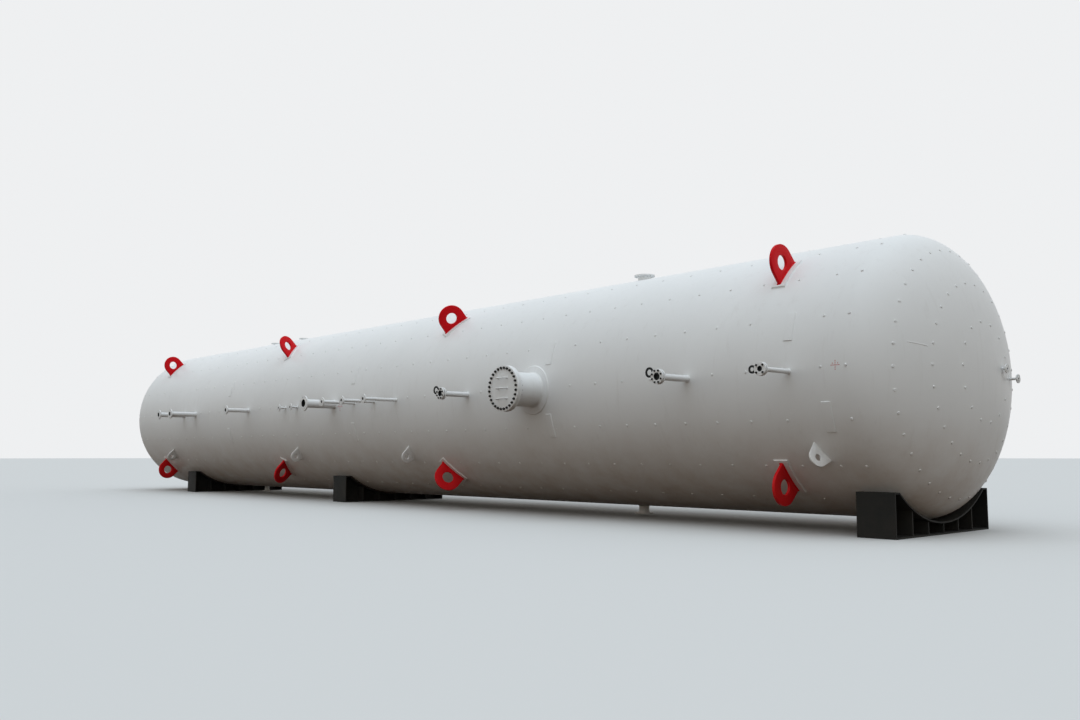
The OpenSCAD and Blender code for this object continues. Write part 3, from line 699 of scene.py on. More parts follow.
class TANK_OT_heads(bpy.types.Operator):
    """Smooth skins of the two dished heads"""
    bl_idname = "tank.heads"
    bl_label = "Dished heads"

    def execute(self, context):
        sizes = context.scene.tank_shell
        angles = np.radians(np.arange(0, 360, SHELL_STEP))
        skirt_lines = np.array([*NEAR_SEAM[:6], 0.13, sizes.skirt])
        dish_angles = np.linspace(0, np.pi / 2, 49)[:-1]
        depth = dish_depth()
        inner_r, inner_depth = SHELL_R - sizes.wall, depth - sizes.wall
        for name, seam_x, sign in (("head_rear", SEAMS[0], -1), ("head_front", SEAMS[-1], 1)):
            along, across = head_profile(SHELL_R, depth, skirt_lines, dish_angles)
            drawn = across * drawn_radius(seam_x + sign * along) / SHELL_R
            inner_along, inner_across = head_profile(inner_r, inner_depth, skirt_lines, dish_angles)
            outer = on_shell(seam_x + sign * along[:, None], angles, drawn[:, None])
            inner = on_shell(seam_x + sign * inner_along[:, None], angles, inner_across[:, None])
            own = head_necks() if sign > 0 else []
            poles = [[seam_x + sign * (sizes.skirt + d), 0, AXIS_Z] for d in (depth, inner_depth)]
            part = two_sheets(outer, inner, [head_window(n, across, SHELL_R, depth) for n in own],
                              [head_window(n, across, inner_r, inner_depth) for n in own], poles)
            build(name + "_skin", [part], "tank_paint", [name])
        return {"FINISHED"}


class TANK_OT_seams(bpy.types.Operator):
    """Weld beads of the girth seams and of the courses' long seams"""
    bl_idname = "tank.seams"
    bl_label = "Seam welds"

    def execute(self, context):
        sizes = context.scene.tank_shell
        angles = np.radians(np.arange(0, 360, BEAD_STEP))[:, None]
        profile = seam_profile(sizes.bead_w, sizes.bead_h)
        parts = [ring_part(on_shell(x + profile[:, 0], angles, SHELL_R - sizes.draw_in + profile[:, 1]))
                 for x in SEAMS]
        build("girth_seam_welds", parts, "weld_paint")
        parts = []
        for k, (start, end) in enumerate(zip(SEAMS, SEAMS[1:])):
            # The long seams lie by turns to either side of the top line
            angle = math.radians(90 + (LONG_SEAM if k % 2 else -LONG_SEAM))
            line = np.linspace(start, end, 41)[:, None]
            parts.append(rod_part(on_shell(line, angle + profile[:, 0] / SHELL_R,
                                           drawn_radius(line) + profile[:, 1])))
        build("long_seam_welds", parts, "weld_paint")
        return {"FINISHED"}


def bare_bore(radius, low, high):
    """Thin unpainted lining of a bore, from low to high: a tube whose outside lies in the wall."""
    inside, outside = radius - 0.001, radius + 0.001
    return lathe([(inside, low), (inside, high), (outside, high), (outside, low)], 0.0003)


def flange_window(rows, circle, turn, height, middle, half, hole):
    """Window of a flange's grid round a bolt hole in its face at that height."""
    centre = circle * np.array([math.cos(turn), math.sin(turn)])

    def to_plane(points):
        """Distances of points from the hole's middle."""
        return points[..., :2] - centre

    def from_plane(place):
        """Points in the face at those distances."""
        return np.concatenate([place + centre, np.full(place.shape[:-1] + (1,), height)], -1)

    return (*rows, middle - half, middle + half, to_plane, from_plane, hole)


def flanged_neck(neck):
    """Pipe, hub and flange as one closed outline of (radius, height) turned about the neck's axis; the bolt
    holes are windows of the flange's front and back, bridged through its thickness."""
    sizes = bpy.context.scene.tank_fittings
    bore, pipe, rim, circle, hole, raised = (neck[name] / 2 for name in
                                             ("bore", "pipe", "flange", "circle", "hole", "raised"))
    start, face, bolts, edge = neck["start"], neck["face"], neck["bolts"], sizes.edge
    front, back = face - sizes.face_t, face - neck["thick"]
    # The head's small necks have hardly a hub
    hub_w, hub_l = (0.0008, 0.004) if neck["node"] == "head_nozzles" else (sizes.hub_w / 2, sizes.hub_l)
    hub = pipe + hub_w
    # The windows' inner and outer lines keep clear of the raised face, the hub and the rim
    gap = 0.0004
    inner = circle - min(1.3 * hole, circle - raised - gap)
    outer = circle + min(1.3 * hole, rim - circle - edge - gap)
    back_inner = max(inner, hub + 0.002)
    outline = [
        (bore, start), (bore, face), (raised, face), (raised, front),
        (inner, front), (circle, front), (outer, front),
        (rim, front), (rim, back),
        (outer, back), (circle, back), (back_inner, back),
        (hub, back), (pipe, back - hub_l), (pipe, start),
    ]
    profile = rounded(outline, [0, edge / 2, edge / 3, 0, 0, 0, 0, edge, edge, 0, 0, 0, 0, 0, 0])
    per_bolt = 16 if bolts == 4 else 8
    columns = bolts * per_bolt
    narrow = min(inner, back_inner)
    half = math.ceil(math.asin(min(1.25 * hole / narrow, 0.9)) / (2 * math.pi / columns))
    windows = []
    for height, line in ((front, inner), (back, back_inner)):
        rows = sorted(int(np.argmin(np.hypot(profile[:, 0] - radius, profile[:, 1] - height)))
                      for radius in (line, outer))
        windows += [flange_window(rows, circle, turn, height, int((k + 0.5) * per_bolt), half, hole)
                    for k, turn in enumerate(round_turns(bolts, 0.5))]
    points, faces, rims = holed(revolved(profile, columns), windows, close_rows=True, rings=2)
    faces += [bridge(a, b) for a, b in zip(rims[:bolts], rims[bolts:])]
    return placed((points, faces), neck["origin"], neck["way"])


class TANK_OT_necks(bpy.types.Operator):
    """Flanged necks of the shell and of the front head"""
    bl_idname = "tank.necks"
    bl_label = "Flanged necks"

    def execute(self, context):
        necks, gap = shell_necks() + head_necks(), 0.002
        for node in dict.fromkeys(n["node"] for n in necks):
            parts = [flanged_neck(n) for n in necks if n["node"] == node]
            build(node + "_turned", parts, "fitting_paint", [node])
        linings = [placed(bare_bore(n["bore"] / 2, n["start"] + gap, n["face"] - gap), n["origin"], n["way"])
                   for n in necks]
        build("neck_bores", linings, "blank_steel")
        return {"FINISHED"}


class TANK_OT_neck_welds(bpy.types.Operator):
    """Fillet welds where the necks meet the shell, the head and the manhole's plate"""
    bl_idname = "tank.neck_welds"
    bl_label = "Neck welds"

    def execute(self, context):
        depth, hole = dish_depth(), manhole()

        def shell_surface(radius):
            """Height of a round surface over the plane across a neck: the other side of a right triangle."""
            return lambda u, v: np.sqrt(radius ** 2 - v ** 2)

        def dish_surface(neck):
            """Height of the front head's dish over the plane across the tank's axis."""
            y, z = neck["origin"][1], neck["origin"][2] - AXIS_Z
            return lambda u, v: SEAMS[-1] + dish_height(np.hypot(u + y, v + z), SHELL_R, depth)

        plate = SHELL_R + context.scene.tank_fittings.manhole_pad_t
        parts = [bead_round_neck(n, NECK_LEG + NECK_LEG_SHARE * n["r"], n["r"], shell_surface(SHELL_R))
                 for n in shell_necks()]
        parts.append(bead_round_neck(hole, MANHOLE_LEG, hole["r"], shell_surface(plate)))
        parts.append(bead_round_neck(hole, PLATE_LEG, hole["pad_r"], shell_surface(SHELL_R)))
        parts += [bead_round_neck(n, HEAD_LEG, n["r"], dish_surface(n)) for n in head_necks()]
        build("neck_welds", parts, "weld_paint")
        return {"FINISHED"}


def rod_path(half, rise, bend):
    """Middle line of a grab bar: leg, quarter circle, straight, quarter circle, leg, as (along, out)."""
    turn = np.linspace(0, np.pi / 2, 9)
    arc = np.stack([-half + bend * (1 - np.cos(turn)), rise - bend * (1 - np.sin(turn))], -1)
    left = np.vstack([[-half, -0.002], arc])
    return np.vstack([left, left[::-1] * [-1, 1]])


def grab_rods(hole):
    """Grab bars of the cover: a circle carried square to the rod's middle line, and a weld at each foot."""
    sizes = bpy.context.scene.tank_fittings
    low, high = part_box("manhole_grab_bars")
    radius = sizes.grab_d / 2
    path = rod_path((high.x - low.x) / 2 - radius, -low.y - hole["face"] - radius, sizes.grab_bend)
    step = unit(np.gradient(path, axis=0))
    side = np.stack([step[:, 1], -step[:, 0]], -1)
    turn = np.arange(16) * np.pi / 8
    flat = path[:, None] + radius * np.cos(turn)[None, :, None] * side[:, None]
    across = np.broadcast_to(radius * np.sin(turn), flat.shape[:2])
    rod = rod_part(np.stack([flat[..., 0], across, flat[..., 1]], -1))
    cone = np.array([[radius + 0.007, -0.001], [radius + 0.004, 0.003], [radius - 0.001, 0.007]])
    foot = rod_part(revolved(cone, 16))
    levels = sorted((a[2] + b[2]) / 2 for a, b in solids_of("manhole_grab_bars", axis=2, gap=0.02))
    places = np.array([[hole["origin"][0], -hole["face"], z] for z in levels])
    feet = np.concatenate([places + [s * path[-1][0], 0, 0] for s in (-1, 1)])
    return [placed(rod, places, hole["way"]), placed(foot, feet, hole["way"])]


class TANK_OT_manhole(bpy.types.Operator):
    """Manhole neck, cover, grab bars, gasket and fastenings"""
    bl_idname = "tank.manhole"
    bl_label = "Manhole"

    def execute(self, context):
        sizes, hole, columns = context.scene.tank_fittings, manhole(), 128
        joint, face, rim, pipe = hole["joint"], hole["face"], hole["rim"], hole["r"]
        start, back = -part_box("manhole_neck")[1].y, joint - sizes.manhole_flange_t
        bore, edge, gasket_t = sizes.manhole_bore / 2, 0.003, 0.002

        def turned_piece(name, part, finish_name, replaces=()):
            """Builds a part that is turned about the manhole's axis."""
            build(name, [placed(part, hole["origin"], hole["way"])], finish_name, replaces)

        neck = [(bore, start), (bore, joint), (rim, joint), (rim, back), (pipe, back), (pipe, start)]
        turned_piece("manhole_neck_turned", lathe(neck, [0, edge, edge, edge, 0.012, 0], columns),
                     "fitting_paint", ["manhole_neck", "manhole_flange"])
        seat = joint + gasket_t
        cover = rounded([(0.004, seat), (rim, seat), (rim, face), (0.004, face)], [0, edge, edge, 0])
        turned_piece("manhole_cover_turned", rod_part(revolved(cover, columns)), "fitting_paint",
                     ["manhole_cover"])
        inside, outside = bore + 0.002, bore + 0.046
        gasket = [(inside, joint), (outside, joint), (outside, seat), (inside, seat)]
        turned_piece("manhole_gasket", lathe(gasket, 0, columns), "packing_rubber")
        build("manhole_grab_rods", grab_rods(hole), "fitting_paint", ["manhole_grab_bars"])
        studs = fastened(hole, sizes.manhole_pcd / 2, sizes.manhole_bolts, back, face, MANHOLE_STUD)
        build("manhole_studs_and_nuts", studs, "blackened_steel")
        return {"FINISHED"}


def second_flange(neck, inner):
    """Flange bolted over a blank, outward from its raised face at inner, and the bare lining and bevel ring
    of its bore."""
    sizes = bpy.context.scene.tank_fittings
    edge, bore, rim, raised = sizes.edge, neck["bore"] / 2, neck["flange"] / 2, neck["raised"] / 2
    step, front = inner + sizes.face_t, inner + neck["thick"]
    outline = [(bore, inner), (raised, inner), (raised, step), (rim, step), (rim, front), (bore, front)]
    bevel = [(bore - 0.001, front - 0.002), (1.3 * bore, front - 0.002), (1.3 * bore, front + 0.0006),
             (bore - 0.001, front + 0.0006)]
    flange = lathe(outline, [0, 0, 0, edge, edge, edge])
    return [placed(part, neck["origin"], neck["way"])
            for part in (flange, bare_bore(bore, inner + 0.001, front - 0.001), lathe(bevel, 0.0002))]


def figure_eight(neck, end):
    """Figure-eight blank from a neck's face to end: a disc over the bore, a ring one bolt circle's width
    beside it, turned to lie between two bolts, and a web between them."""
    start, bolts, gap = neck["face"], neck["bolts"], 0.0004
    bore, raised, edge = neck["bore"] / 2, neck["raised"] / 2, bpy.context.scene.tank_fittings.edge
    thick = end - start
    turn = math.pi - math.pi / bolts if bolts > 4 else math.pi
    reach = neck["circle"] * np.array([math.cos(turn), math.sin(turn)])
    beside = neck["origin"] + np.array([reach[0], 0, reach[1]])
    disc = [(0.002, start + gap), (raised, start + gap), (raised, start + thick - gap),
            (0.002, start + thick - gap)]
    disc = rod_part(revolved(rounded(disc, [0, edge / 2, edge / 2, 0]), 64))
    ring = lathe([(bore, start), (raised, start), (raised, start + thick), (bore, start + thick)], edge / 2)
    path, _ = rectangle_path(neck["thick"], thick / 2, 0.001, 2)
    along = np.linspace(raised * 0.6, neck["circle"] - raised * 0.8, 3)
    local = np.stack(np.broadcast_arrays(along[:, None], path[:, 0], start + thick / 2 + path[:, 1]), -1)
    spin = np.array([[math.cos(turn), math.sin(turn), 0], [-math.sin(turn), math.cos(turn), 0], [0, 0, 1]])
    return [placed(disc, neck["origin"], neck["way"]), placed(ring, beside, neck["way"]),
            placed(rod_part(local @ spin), neck["origin"], neck["way"])]


class TANK_OT_blanks(bpy.types.Operator):
    """Figure-eight blanks, the flanges bolted over them, their studs and nuts"""
    bl_idname = "tank.blanks"
    bl_label = "Blanked nozzles"

    def execute(self, context):
        side_necks = [n for n in shell_necks() if n["node"].startswith("side_nozzle")]
        flanges, eights, fastenings = [], [], []
        for low, high in solids_of("companion_flanges"):
            x, inner = (low[0] + high[0]) / 2, -high[1]
            neck = min(side_necks, key=lambda n: abs(n["origin"][0] - x))
            flange, lining, bevel = second_flange(neck, inner)
            flanges.append(flange)
            eights += [lining, bevel] + figure_eight(neck, inner)
            fastenings += fastened(neck, neck["circle"] / 2, neck["bolts"], neck["face"] - neck["thick"],
                                   inner + neck["thick"], BLANK_STUD)
        build("companion_flanges_turned", flanges, "fitting_paint", ["companion_flanges"])
        build("figure_eight_blanks", eights, "blank_steel", ["spectacle_blanks"])
        build("blank_studs_and_nuts", fastenings, "blackened_steel")
        return {"FINISHED"}


def eye_plate(radius, height, eye_r, hole_r, foot, thick, lean, edge):
    """Plate with an eye, as a closed polar grid about the eye's centre.

    The outline's distance from the centre is the eye's radius up to where the side leaves it at a tangent,
    then the least of three distances: to the tangent line, to the foot's own side, and to the shell's
    surface, which is a circle seen at the plate's lean across the tank. Rows run round the plate's
    thickness, with the edges rounded. Local axes: along the plate, outward, across the plate.
    """
    half, far, tiny = foot / 2, 1e3, 1e-3
    corner_turn = math.atan2(half, -height)
    leave = corner_turn - math.acos(eye_r / math.hypot(half, height))
    depth = radius + height
    surface_y = math.sqrt(radius ** 2 - (half * math.sin(lean)) ** 2) - SUNK
    foot_turn = math.atan2(half, -(depth - surface_y))
    turn = np.concatenate([np.linspace(-np.pi, np.pi, 120, endpoint=False),
                           [leave, -leave, corner_turn, -corner_turn, foot_turn, -foot_turn]])
    turn = np.unique(np.round(turn, 9))
    size, inward = np.abs(turn), np.pi - np.abs(turn)
    tangent = eye_r / np.maximum(np.cos(size - leave), tiny)
    side = half / np.maximum(np.sin(size), tiny)
    # The ray to the surface is the smaller root of a r^2 - 2 b r + c = 0
    a = np.cos(inward) ** 2 + (np.sin(inward) * math.sin(lean)) ** 2
    b = depth * np.cos(inward)
    c = depth ** 2 - (radius - SUNK) ** 2
    root = np.maximum(b ** 2 - a * c, 0)
    ground = np.where((b > 0) & (b ** 2 > a * c), (b - np.sqrt(root)) / a, far)
    reach = np.where(size <= leave, eye_r, np.minimum(np.minimum(tangent, side), ground))
    arc = np.linspace(0, np.pi / 2, 4)
    inset, level = edge * (1 - np.sin(arc)), thick / 2 - edge * (1 - np.cos(arc))
    inset, level = np.concatenate([inset, inset[::-1]]), np.concatenate([level, -level[::-1]])
    rho = np.vstack([reach[None] - inset[:, None], hole_r + inset[:, None] + 0 * reach[None]])
    across = np.concatenate([level, -level])[:, None]
    points = np.stack(np.broadcast_arrays(rho * np.sin(turn), height + rho * np.cos(turn), across), -1)
    return ring_part(points)


def lug_on_shell(place, base, *sizes):
    """An eye plate set on the shell at a place along it, an angle and a turn about its own outward line."""
    x, angle, turn = place
    lean = math.pi / 2 - turn
    height, eye_r, hole_r, foot, thick, edge = sizes
    out, up, along = outward(angle), around(angle), np.array([1.0, 0, 0])
    way = np.array([math.cos(lean) * along + math.sin(lean) * up, out,
                    math.sin(lean) * along - math.cos(lean) * up])
    part = eye_plate(base, height, eye_r, hole_r, foot, thick, lean, edge)
    return placed(part, np.array([x, 0, AXIS_Z]) + base * out, way)


def lug_places(row):
    """Place along the tank, angle and turn of every lifting lug of a row, from its solids."""
    degrees, way_round = LUG_ROWS[row]
    return [((low[0] + high[0]) / 2, math.radians(degrees), math.radians(way_round * turn))
            for (low, high), turn in zip(solids_of("lifting_lugs_" + row, gap=0.5), LUG_TURNS)]


def lash_places(side):
    """Place, angle and turn of every lashing lug of a side: the far side mirrors the near one."""
    angle = math.radians(bpy.context.scene.tank_fittings.lash_angle)
    angle, sign = (-angle, 1) if side == "near" else (math.pi + angle, -1)
    return [((low[0] + high[0]) / 2, angle, sign * math.radians(turn))
            for (low, high), turn in zip(solids_of("lashing_lugs_" + side, gap=0.5), LASH_TURNS)]


def platform_places():
    """Place and angle of every platform pad: its outer corner's angle less half the pad's own."""
    sizes = bpy.context.scene.tank_fittings
    outer, found = SHELL_R + sizes.platform_t, []
    half = math.asin(sizes.platform_l / 2 / outer)
    for low, high in solids_of("platform_pads", gap=0.3):
        x = (low[0] + high[0]) / 2
        if low[2] < AXIS_Z:
            found.append((x, half - math.asin((AXIS_Z - low[2]) / outer)))
        if high[2] > AXIS_Z:
            found.append((x, math.asin((high[2] - AXIS_Z) / outer) - half))
    return found


class TANK_OT_lifting_lugs(bpy.types.Operator):
    """Red lifting lugs with rounded edges, and the welds of their feet and pads"""
    bl_idname = "tank.lifting_lugs"
    bl_label = "Lifting lugs"

    def execute(self, context):
        sizes = context.scene.tank_fittings
        base = SHELL_R + sizes.lug_pad_t
        shape = (sizes.lug_h - sizes.lug_pad_t, sizes.lug_r, sizes.lug_hole / 2, sizes.lug_foot, sizes.lug_t,
                 LUG_EDGE)
        foot_welds, pad_welds = [], []
        for row in LUG_ROWS:
            node, places = "lifting_lugs_" + row, lug_places(row)
            parts = [lug_on_shell(place, base, *shape) for place in places]
            build(node + "_plates", parts, "lug_paint", [node])
            for x, angle, turn in places:
                foot_welds.append(bead_round_plate(x, angle, base, sizes.lug_t / 2, sizes.lug_foot / 2, -turn,
                                                   LUG_LEG))
                pad_welds.append(bead_round_plate(x, angle, SHELL_R, sizes.lug_pad_l / 2, sizes.lug_pad_w / 2,
                                                  -turn, LUG_LEG))
        build("lug_foot_welds", foot_welds, "lug_weld_paint")
        build("lug_pad_welds", pad_welds, "weld_paint")
        return {"FINISHED"}


class TANK_OT_lashing_lugs(bpy.types.Operator):
    """White lashing lugs with rounded edges, and the welds of their feet"""
    bl_idname = "tank.lashing_lugs"
    bl_label = "Lashing lugs"

    def execute(self, context):
        sizes = context.scene.tank_fittings
        shape = (sizes.lash_h, sizes.lash_r, sizes.lash_hole / 2, sizes.lash_foot, sizes.lash_t, LASH_EDGE)
        welds = []
        for side in ("near", "far"):
            node, places = "lashing_lugs_" + side, lash_places(side)
            parts = [lug_on_shell(place, SHELL_R, *shape) for place in places]
            build(node + "_plates", parts, "fitting_paint", [node])
            welds += [bead_round_plate(x, angle, SHELL_R, sizes.lash_t / 2, sizes.lash_foot / 2, -turn,
                                       LASH_LEG) for x, angle, turn in places]
        build("lashing_lug_welds", welds, "weld_paint")
        return {"FINISHED"}


class TANK_OT_platform_pads(bpy.types.Operator):
    """Curved pads for a platform's brackets, above and below the row of nozzles, and their welds"""
    bl_idname = "tank.platform_pads"
    bl_label = "Platform pads"

    def execute(self, context):
        sizes = context.scene.tank_fittings
        wide, thick = sizes.platform_w / 2, sizes.platform_t
        section = rounded([(-wide, -SUNK), (wide, -SUNK), (wide, thick), (-wide, thick)],
                          [0.001, 0.001, 0.002, 0.002])
        turn = np.linspace(-0.5, 0.5, 17)[:, None] * sizes.platform_l / SHELL_R
        places = platform_places()
        plates = [rod_part(on_shell(x + section[:, 0], angle + turn, SHELL_R + section[:, 1]))
                  for x, angle in places]
        welds = [bead_round_plate(x, angle, SHELL_R, wide, sizes.platform_l / 2, 0, PAD_LEG)
                 for x, angle in places]
        build("platform_pad_plates", plates, "tank_paint", ["platform_pads"])
        build("platform_pad_welds", welds, "weld_paint")
        return {"FINISHED"}


def clip_nut():
    """Welded hexagon nut: collar of weld, hexagon, chamfer and hole, as rings of twelve points."""
    sizes = bpy.context.scene.tank_shell
    turn = np.arange(12) * np.pi / 6
    hexa, bore, height = hexagon(turn, sizes.clip_af), np.full(12, sizes.clip_af * 0.16), sizes.clip_h
    radius = np.stack([hexa * 1.30, hexa * 1.04, hexa, hexa * 0.88, bore, bore])
    level = np.array([-SUNK, 0.003, height - 0.002, height, height, height - 0.0015])[:, None]
    return rod_part(turned(radius, level, turn))


def taken_places():
    """Places on the shell that stay free of clip nuts, as (x, angle) and half sizes along and round it."""
    sizes = bpy.context.scene.tank_fittings
    spots, reach = [], []
    for neck in shell_necks() + [manhole()]:
        spots.append([neck["origin"][0], math.atan2(neck["way"][2][2], -neck["way"][2][1])])
        reach.append([neck.get("pad_r", neck["r"]) + PLATE_CLEAR] * 2)
    plates = [(place, sizes.lug_pad_l, sizes.lug_pad_w) for row in LUG_ROWS for place in lug_places(row)]
    plates += [(place, sizes.lash_t, sizes.lash_foot) for side in ("near", "far")
               for place in lash_places(side)]
    plates += [((*place, 0.0), sizes.platform_w, sizes.platform_l) for place in platform_places()]
    for (x, angle, turn), long, wide in plates:
        cosine, sine = abs(math.cos(turn)) / 2, abs(math.sin(turn)) / 2
        spots.append([x, angle])
        reach.append([long * cosine + wide * sine + PLATE_CLEAR, long * sine + wide * cosine + PLATE_CLEAR])
    for name in ("cradle_rear", "cradle_middle", "cradle_front"):
        low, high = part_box(name)
        spots.append([(low.x + high.x) / 2, 1.5 * math.pi])
        reach.append([(high.x - low.x) / 2 + CRADLE_CLEAR,
                      SHELL_R * math.asin(high.y / SHELL_R) + CRADLE_CLEAR])
    return np.array(spots), np.array(reach)


def clear_of(x, angle, spots, reach):
    """True where a place on the shell is further than its reach from every spot, measured on the surface."""
    turn = (angle[:, None] - spots[:, 1] + np.pi) % (2 * np.pi) - np.pi
    along, aside = np.abs(x[:, None] - spots[:, 0]), np.abs(turn) * SHELL_R
    return np.all((along > reach[:, 0]) | (aside > reach[:, 1]), axis=1)


def shell_clips():
    """Clip nuts of the shell: rings at even pitch and even steps round the tank, clear of all else."""
    sizes = bpy.context.scene.tank_shell
    rings = MIDDLE_X + np.append(CLIP_RING + sizes.clip_pitch * CLIP_STEPS, CLIP_ENDS)
    angles = round_turns(sizes.clip_count) + math.radians(sizes.clip_shift)
    x, angle = (a.ravel() for a in np.meshgrid(rings, angles, indexing="ij"))
    free = clear_of(x, angle, *taken_places())
    x, angle = x[free], angle[free]
    along = np.tile([1.0, 0, 0], (len(x), 1))
    return placed(clip_nut(), on_shell(x, angle, drawn_radius(x)),
                  np.stack([along, around(angle), outward(angle)], 1))


def head_clips(seam_x, sign):
    """Clip nuts of a head: rings about the tank's axis, each nut square to the ellipse of the dish."""
    depth = dish_depth()
    rho = np.concatenate([np.full(count, radius) for radius, count, _ in HEAD_CLIPS])
    turn = np.concatenate([np.radians(first + np.arange(count) * 360 / count)
                           for _, count, first in HEAD_CLIPS])
    away = depth * np.sqrt(1 - (rho / SHELL_R) ** 2)
    normal = unit(np.stack([away / depth ** 2, rho / SHELL_R ** 2], -1))
    out = normal[:, :1] * [sign, 0, 0] + normal[:, 1:] * outward(turn)
    up = around(turn)
    ways = np.stack([np.cross(up, out), up, out], 1)
    places = on_shell(seam_x + sign * (bpy.context.scene.tank_shell.skirt + away), turn, rho)
    keep = np.ones(len(turn), bool)
    for neck in head_necks() if sign > 0 else []:
        keep &= np.hypot(*(places[:, 1:] - neck["origin"][1:]).T) > HEAD_CLEAR
    return placed(clip_nut(), places[keep], ways[keep])


class TANK_OT_clip_nuts(bpy.types.Operator):
    """Small welded nuts that hold the insulation's clips, in rings over the whole tank"""
    bl_idname = "tank.clip_nuts"
    bl_label = "Clip nuts"

    def execute(self, context):
        parts = [shell_clips(), head_clips(SEAMS[0], -1), head_clips(SEAMS[-1], 1)]
        build("clip_nuts", parts, "fitting_paint")
        return {"FINISHED"}


def painted_strip(x, angle, long, wide, turn):
    """Thin painted bar on the shell: a rectangle of the developed surface, a hair proud of it."""
    along, across = np.meshgrid(np.linspace(-long, long, 9) / 2, [-wide / 2, wide / 2], indexing="ij")
    flat_x = along * math.cos(turn) - across * math.sin(turn)
    flat_y = along * math.sin(turn) + across * math.cos(turn)
    top, low = (on_shell(x + flat_x, angle + flat_y / SHELL_R, SHELL_R + rise)
                for rise in (PAINT_RISE, PAINT_SUNK))
    return rod_part(np.concatenate([top, low[:, ::-1]], 1))


def centre_mark(x, angle, size):
    """Painted mark: a cross of five dashes each way, and a tick on either side of it."""
    parts, dash, upright = [], size * 0.16, math.pi / 2
    for step in np.linspace(-0.5, 0.5, 5) * size:
        parts.append(painted_strip(x + step, angle, dash, DASH_W, 0))
        parts.append(painted_strip(x, angle + step / SHELL_R, dash, DASH_W, upright))
    return parts + [painted_strip(x + s * size, angle + 0.012, size * 0.2, TICK_W, upright)
                    for s in (-0.36, 0.36)]


def head_trace():
    """Dressed weld on the front head: its section is carried along the dish, square to the ellipse."""
    depth = dish_depth()
    turn, rho = np.radians(np.linspace(*TRACE_TURN, 9)), np.linspace(*TRACE_REACH, 9)
    path = on_shell(SEAMS[-1] + dish_height(rho, SHELL_R, depth), turn, rho)
    out = unit(np.stack([np.sqrt(1 - (rho / SHELL_R) ** 2) / depth, -rho * np.cos(turn) / SHELL_R ** 2,
                         rho * np.sin(turn) / SHELL_R ** 2], -1))
    side = unit(np.cross(out, path[-1] - path[0]))
    across, rise = TRACE_SECTION[:, :1], TRACE_SECTION[:, 1:]
    return rod_part(path[:, None] + side[:, None] * across + out[:, None] * rise)


class TANK_OT_marks(bpy.types.Operator):
    """Painted centre marks, and a dressed trace of weld on the front head"""
    bl_idname = "tank.marks"
    bl_label = "Painted marks"

    def execute(self, context):
        parts = []
        for x, degrees, size in CENTRE_MARKS:
            parts += centre_mark(MIDDLE_X + x, math.radians(degrees), size)
        build("centre_marks", parts, "mark_red")
        build("head_dressed_weld", [head_trace()], "tank_paint")
        return {"FINISHED"}


def node_tree(name):
    """New material with an empty node tree."""
    material = bpy.data.materials.new(name)
    material.use_nodes = True
    tree = material.node_tree
    tree.nodes.clear()
    return material, tree


def add(tree, kind, inputs=None, **settings):
    """Adds a node: settings are its own values, inputs are values or links by socket name or number."""
    node = tree.nodes.new("ShaderNode" + kind)
    for key, value in settings.items():
        setattr(node, key, value)
    for key, value in (inputs or {}).items():
        if isinstance(value, bpy.types.NodeSocket):
            tree.links.new(value, node.inputs[key])
        else:
            node.inputs[key].default_value = value
    return node


def noise(tree, vector, scale, detail=3.0, rough=0.55):
    """Value of a cloud pattern at a place."""
    inputs = {"Vector": vector, "Scale": scale, "Detail": detail, "Roughness": rough}
    return add(tree, "TexNoise", inputs).outputs[0]


def ranged(tree, value, low, high, to_low, to_high):
    """Value stretched from one range to another and kept inside it."""
    inputs = {"Value": value, "From Min": low, "From Max": high, "To Min": to_low, "To Max": to_high}
    return add(tree, "MapRange", inputs).outputs[0]


def combined(tree, operation, a, b):
    """Two values taken together by a sum, a product or the larger of them."""
    return add(tree, "Math", {0: a, 1: b}, operation=operation).outputs[0]


def blended(tree, share, a, b):
    """Colour between two colours or sockets by a share."""
    node = add(tree, "Mix", data_type="RGBA")
    for socket, value in ((node.inputs[0], share), (node.inputs[6], a), (node.inputs[7], b)):
        if isinstance(value, bpy.types.NodeSocket):
            tree.links.new(value, socket)
        else:
            socket.default_value = value if socket.type == "VALUE" else (*value, 1)[:4]
    return node.outputs[2]


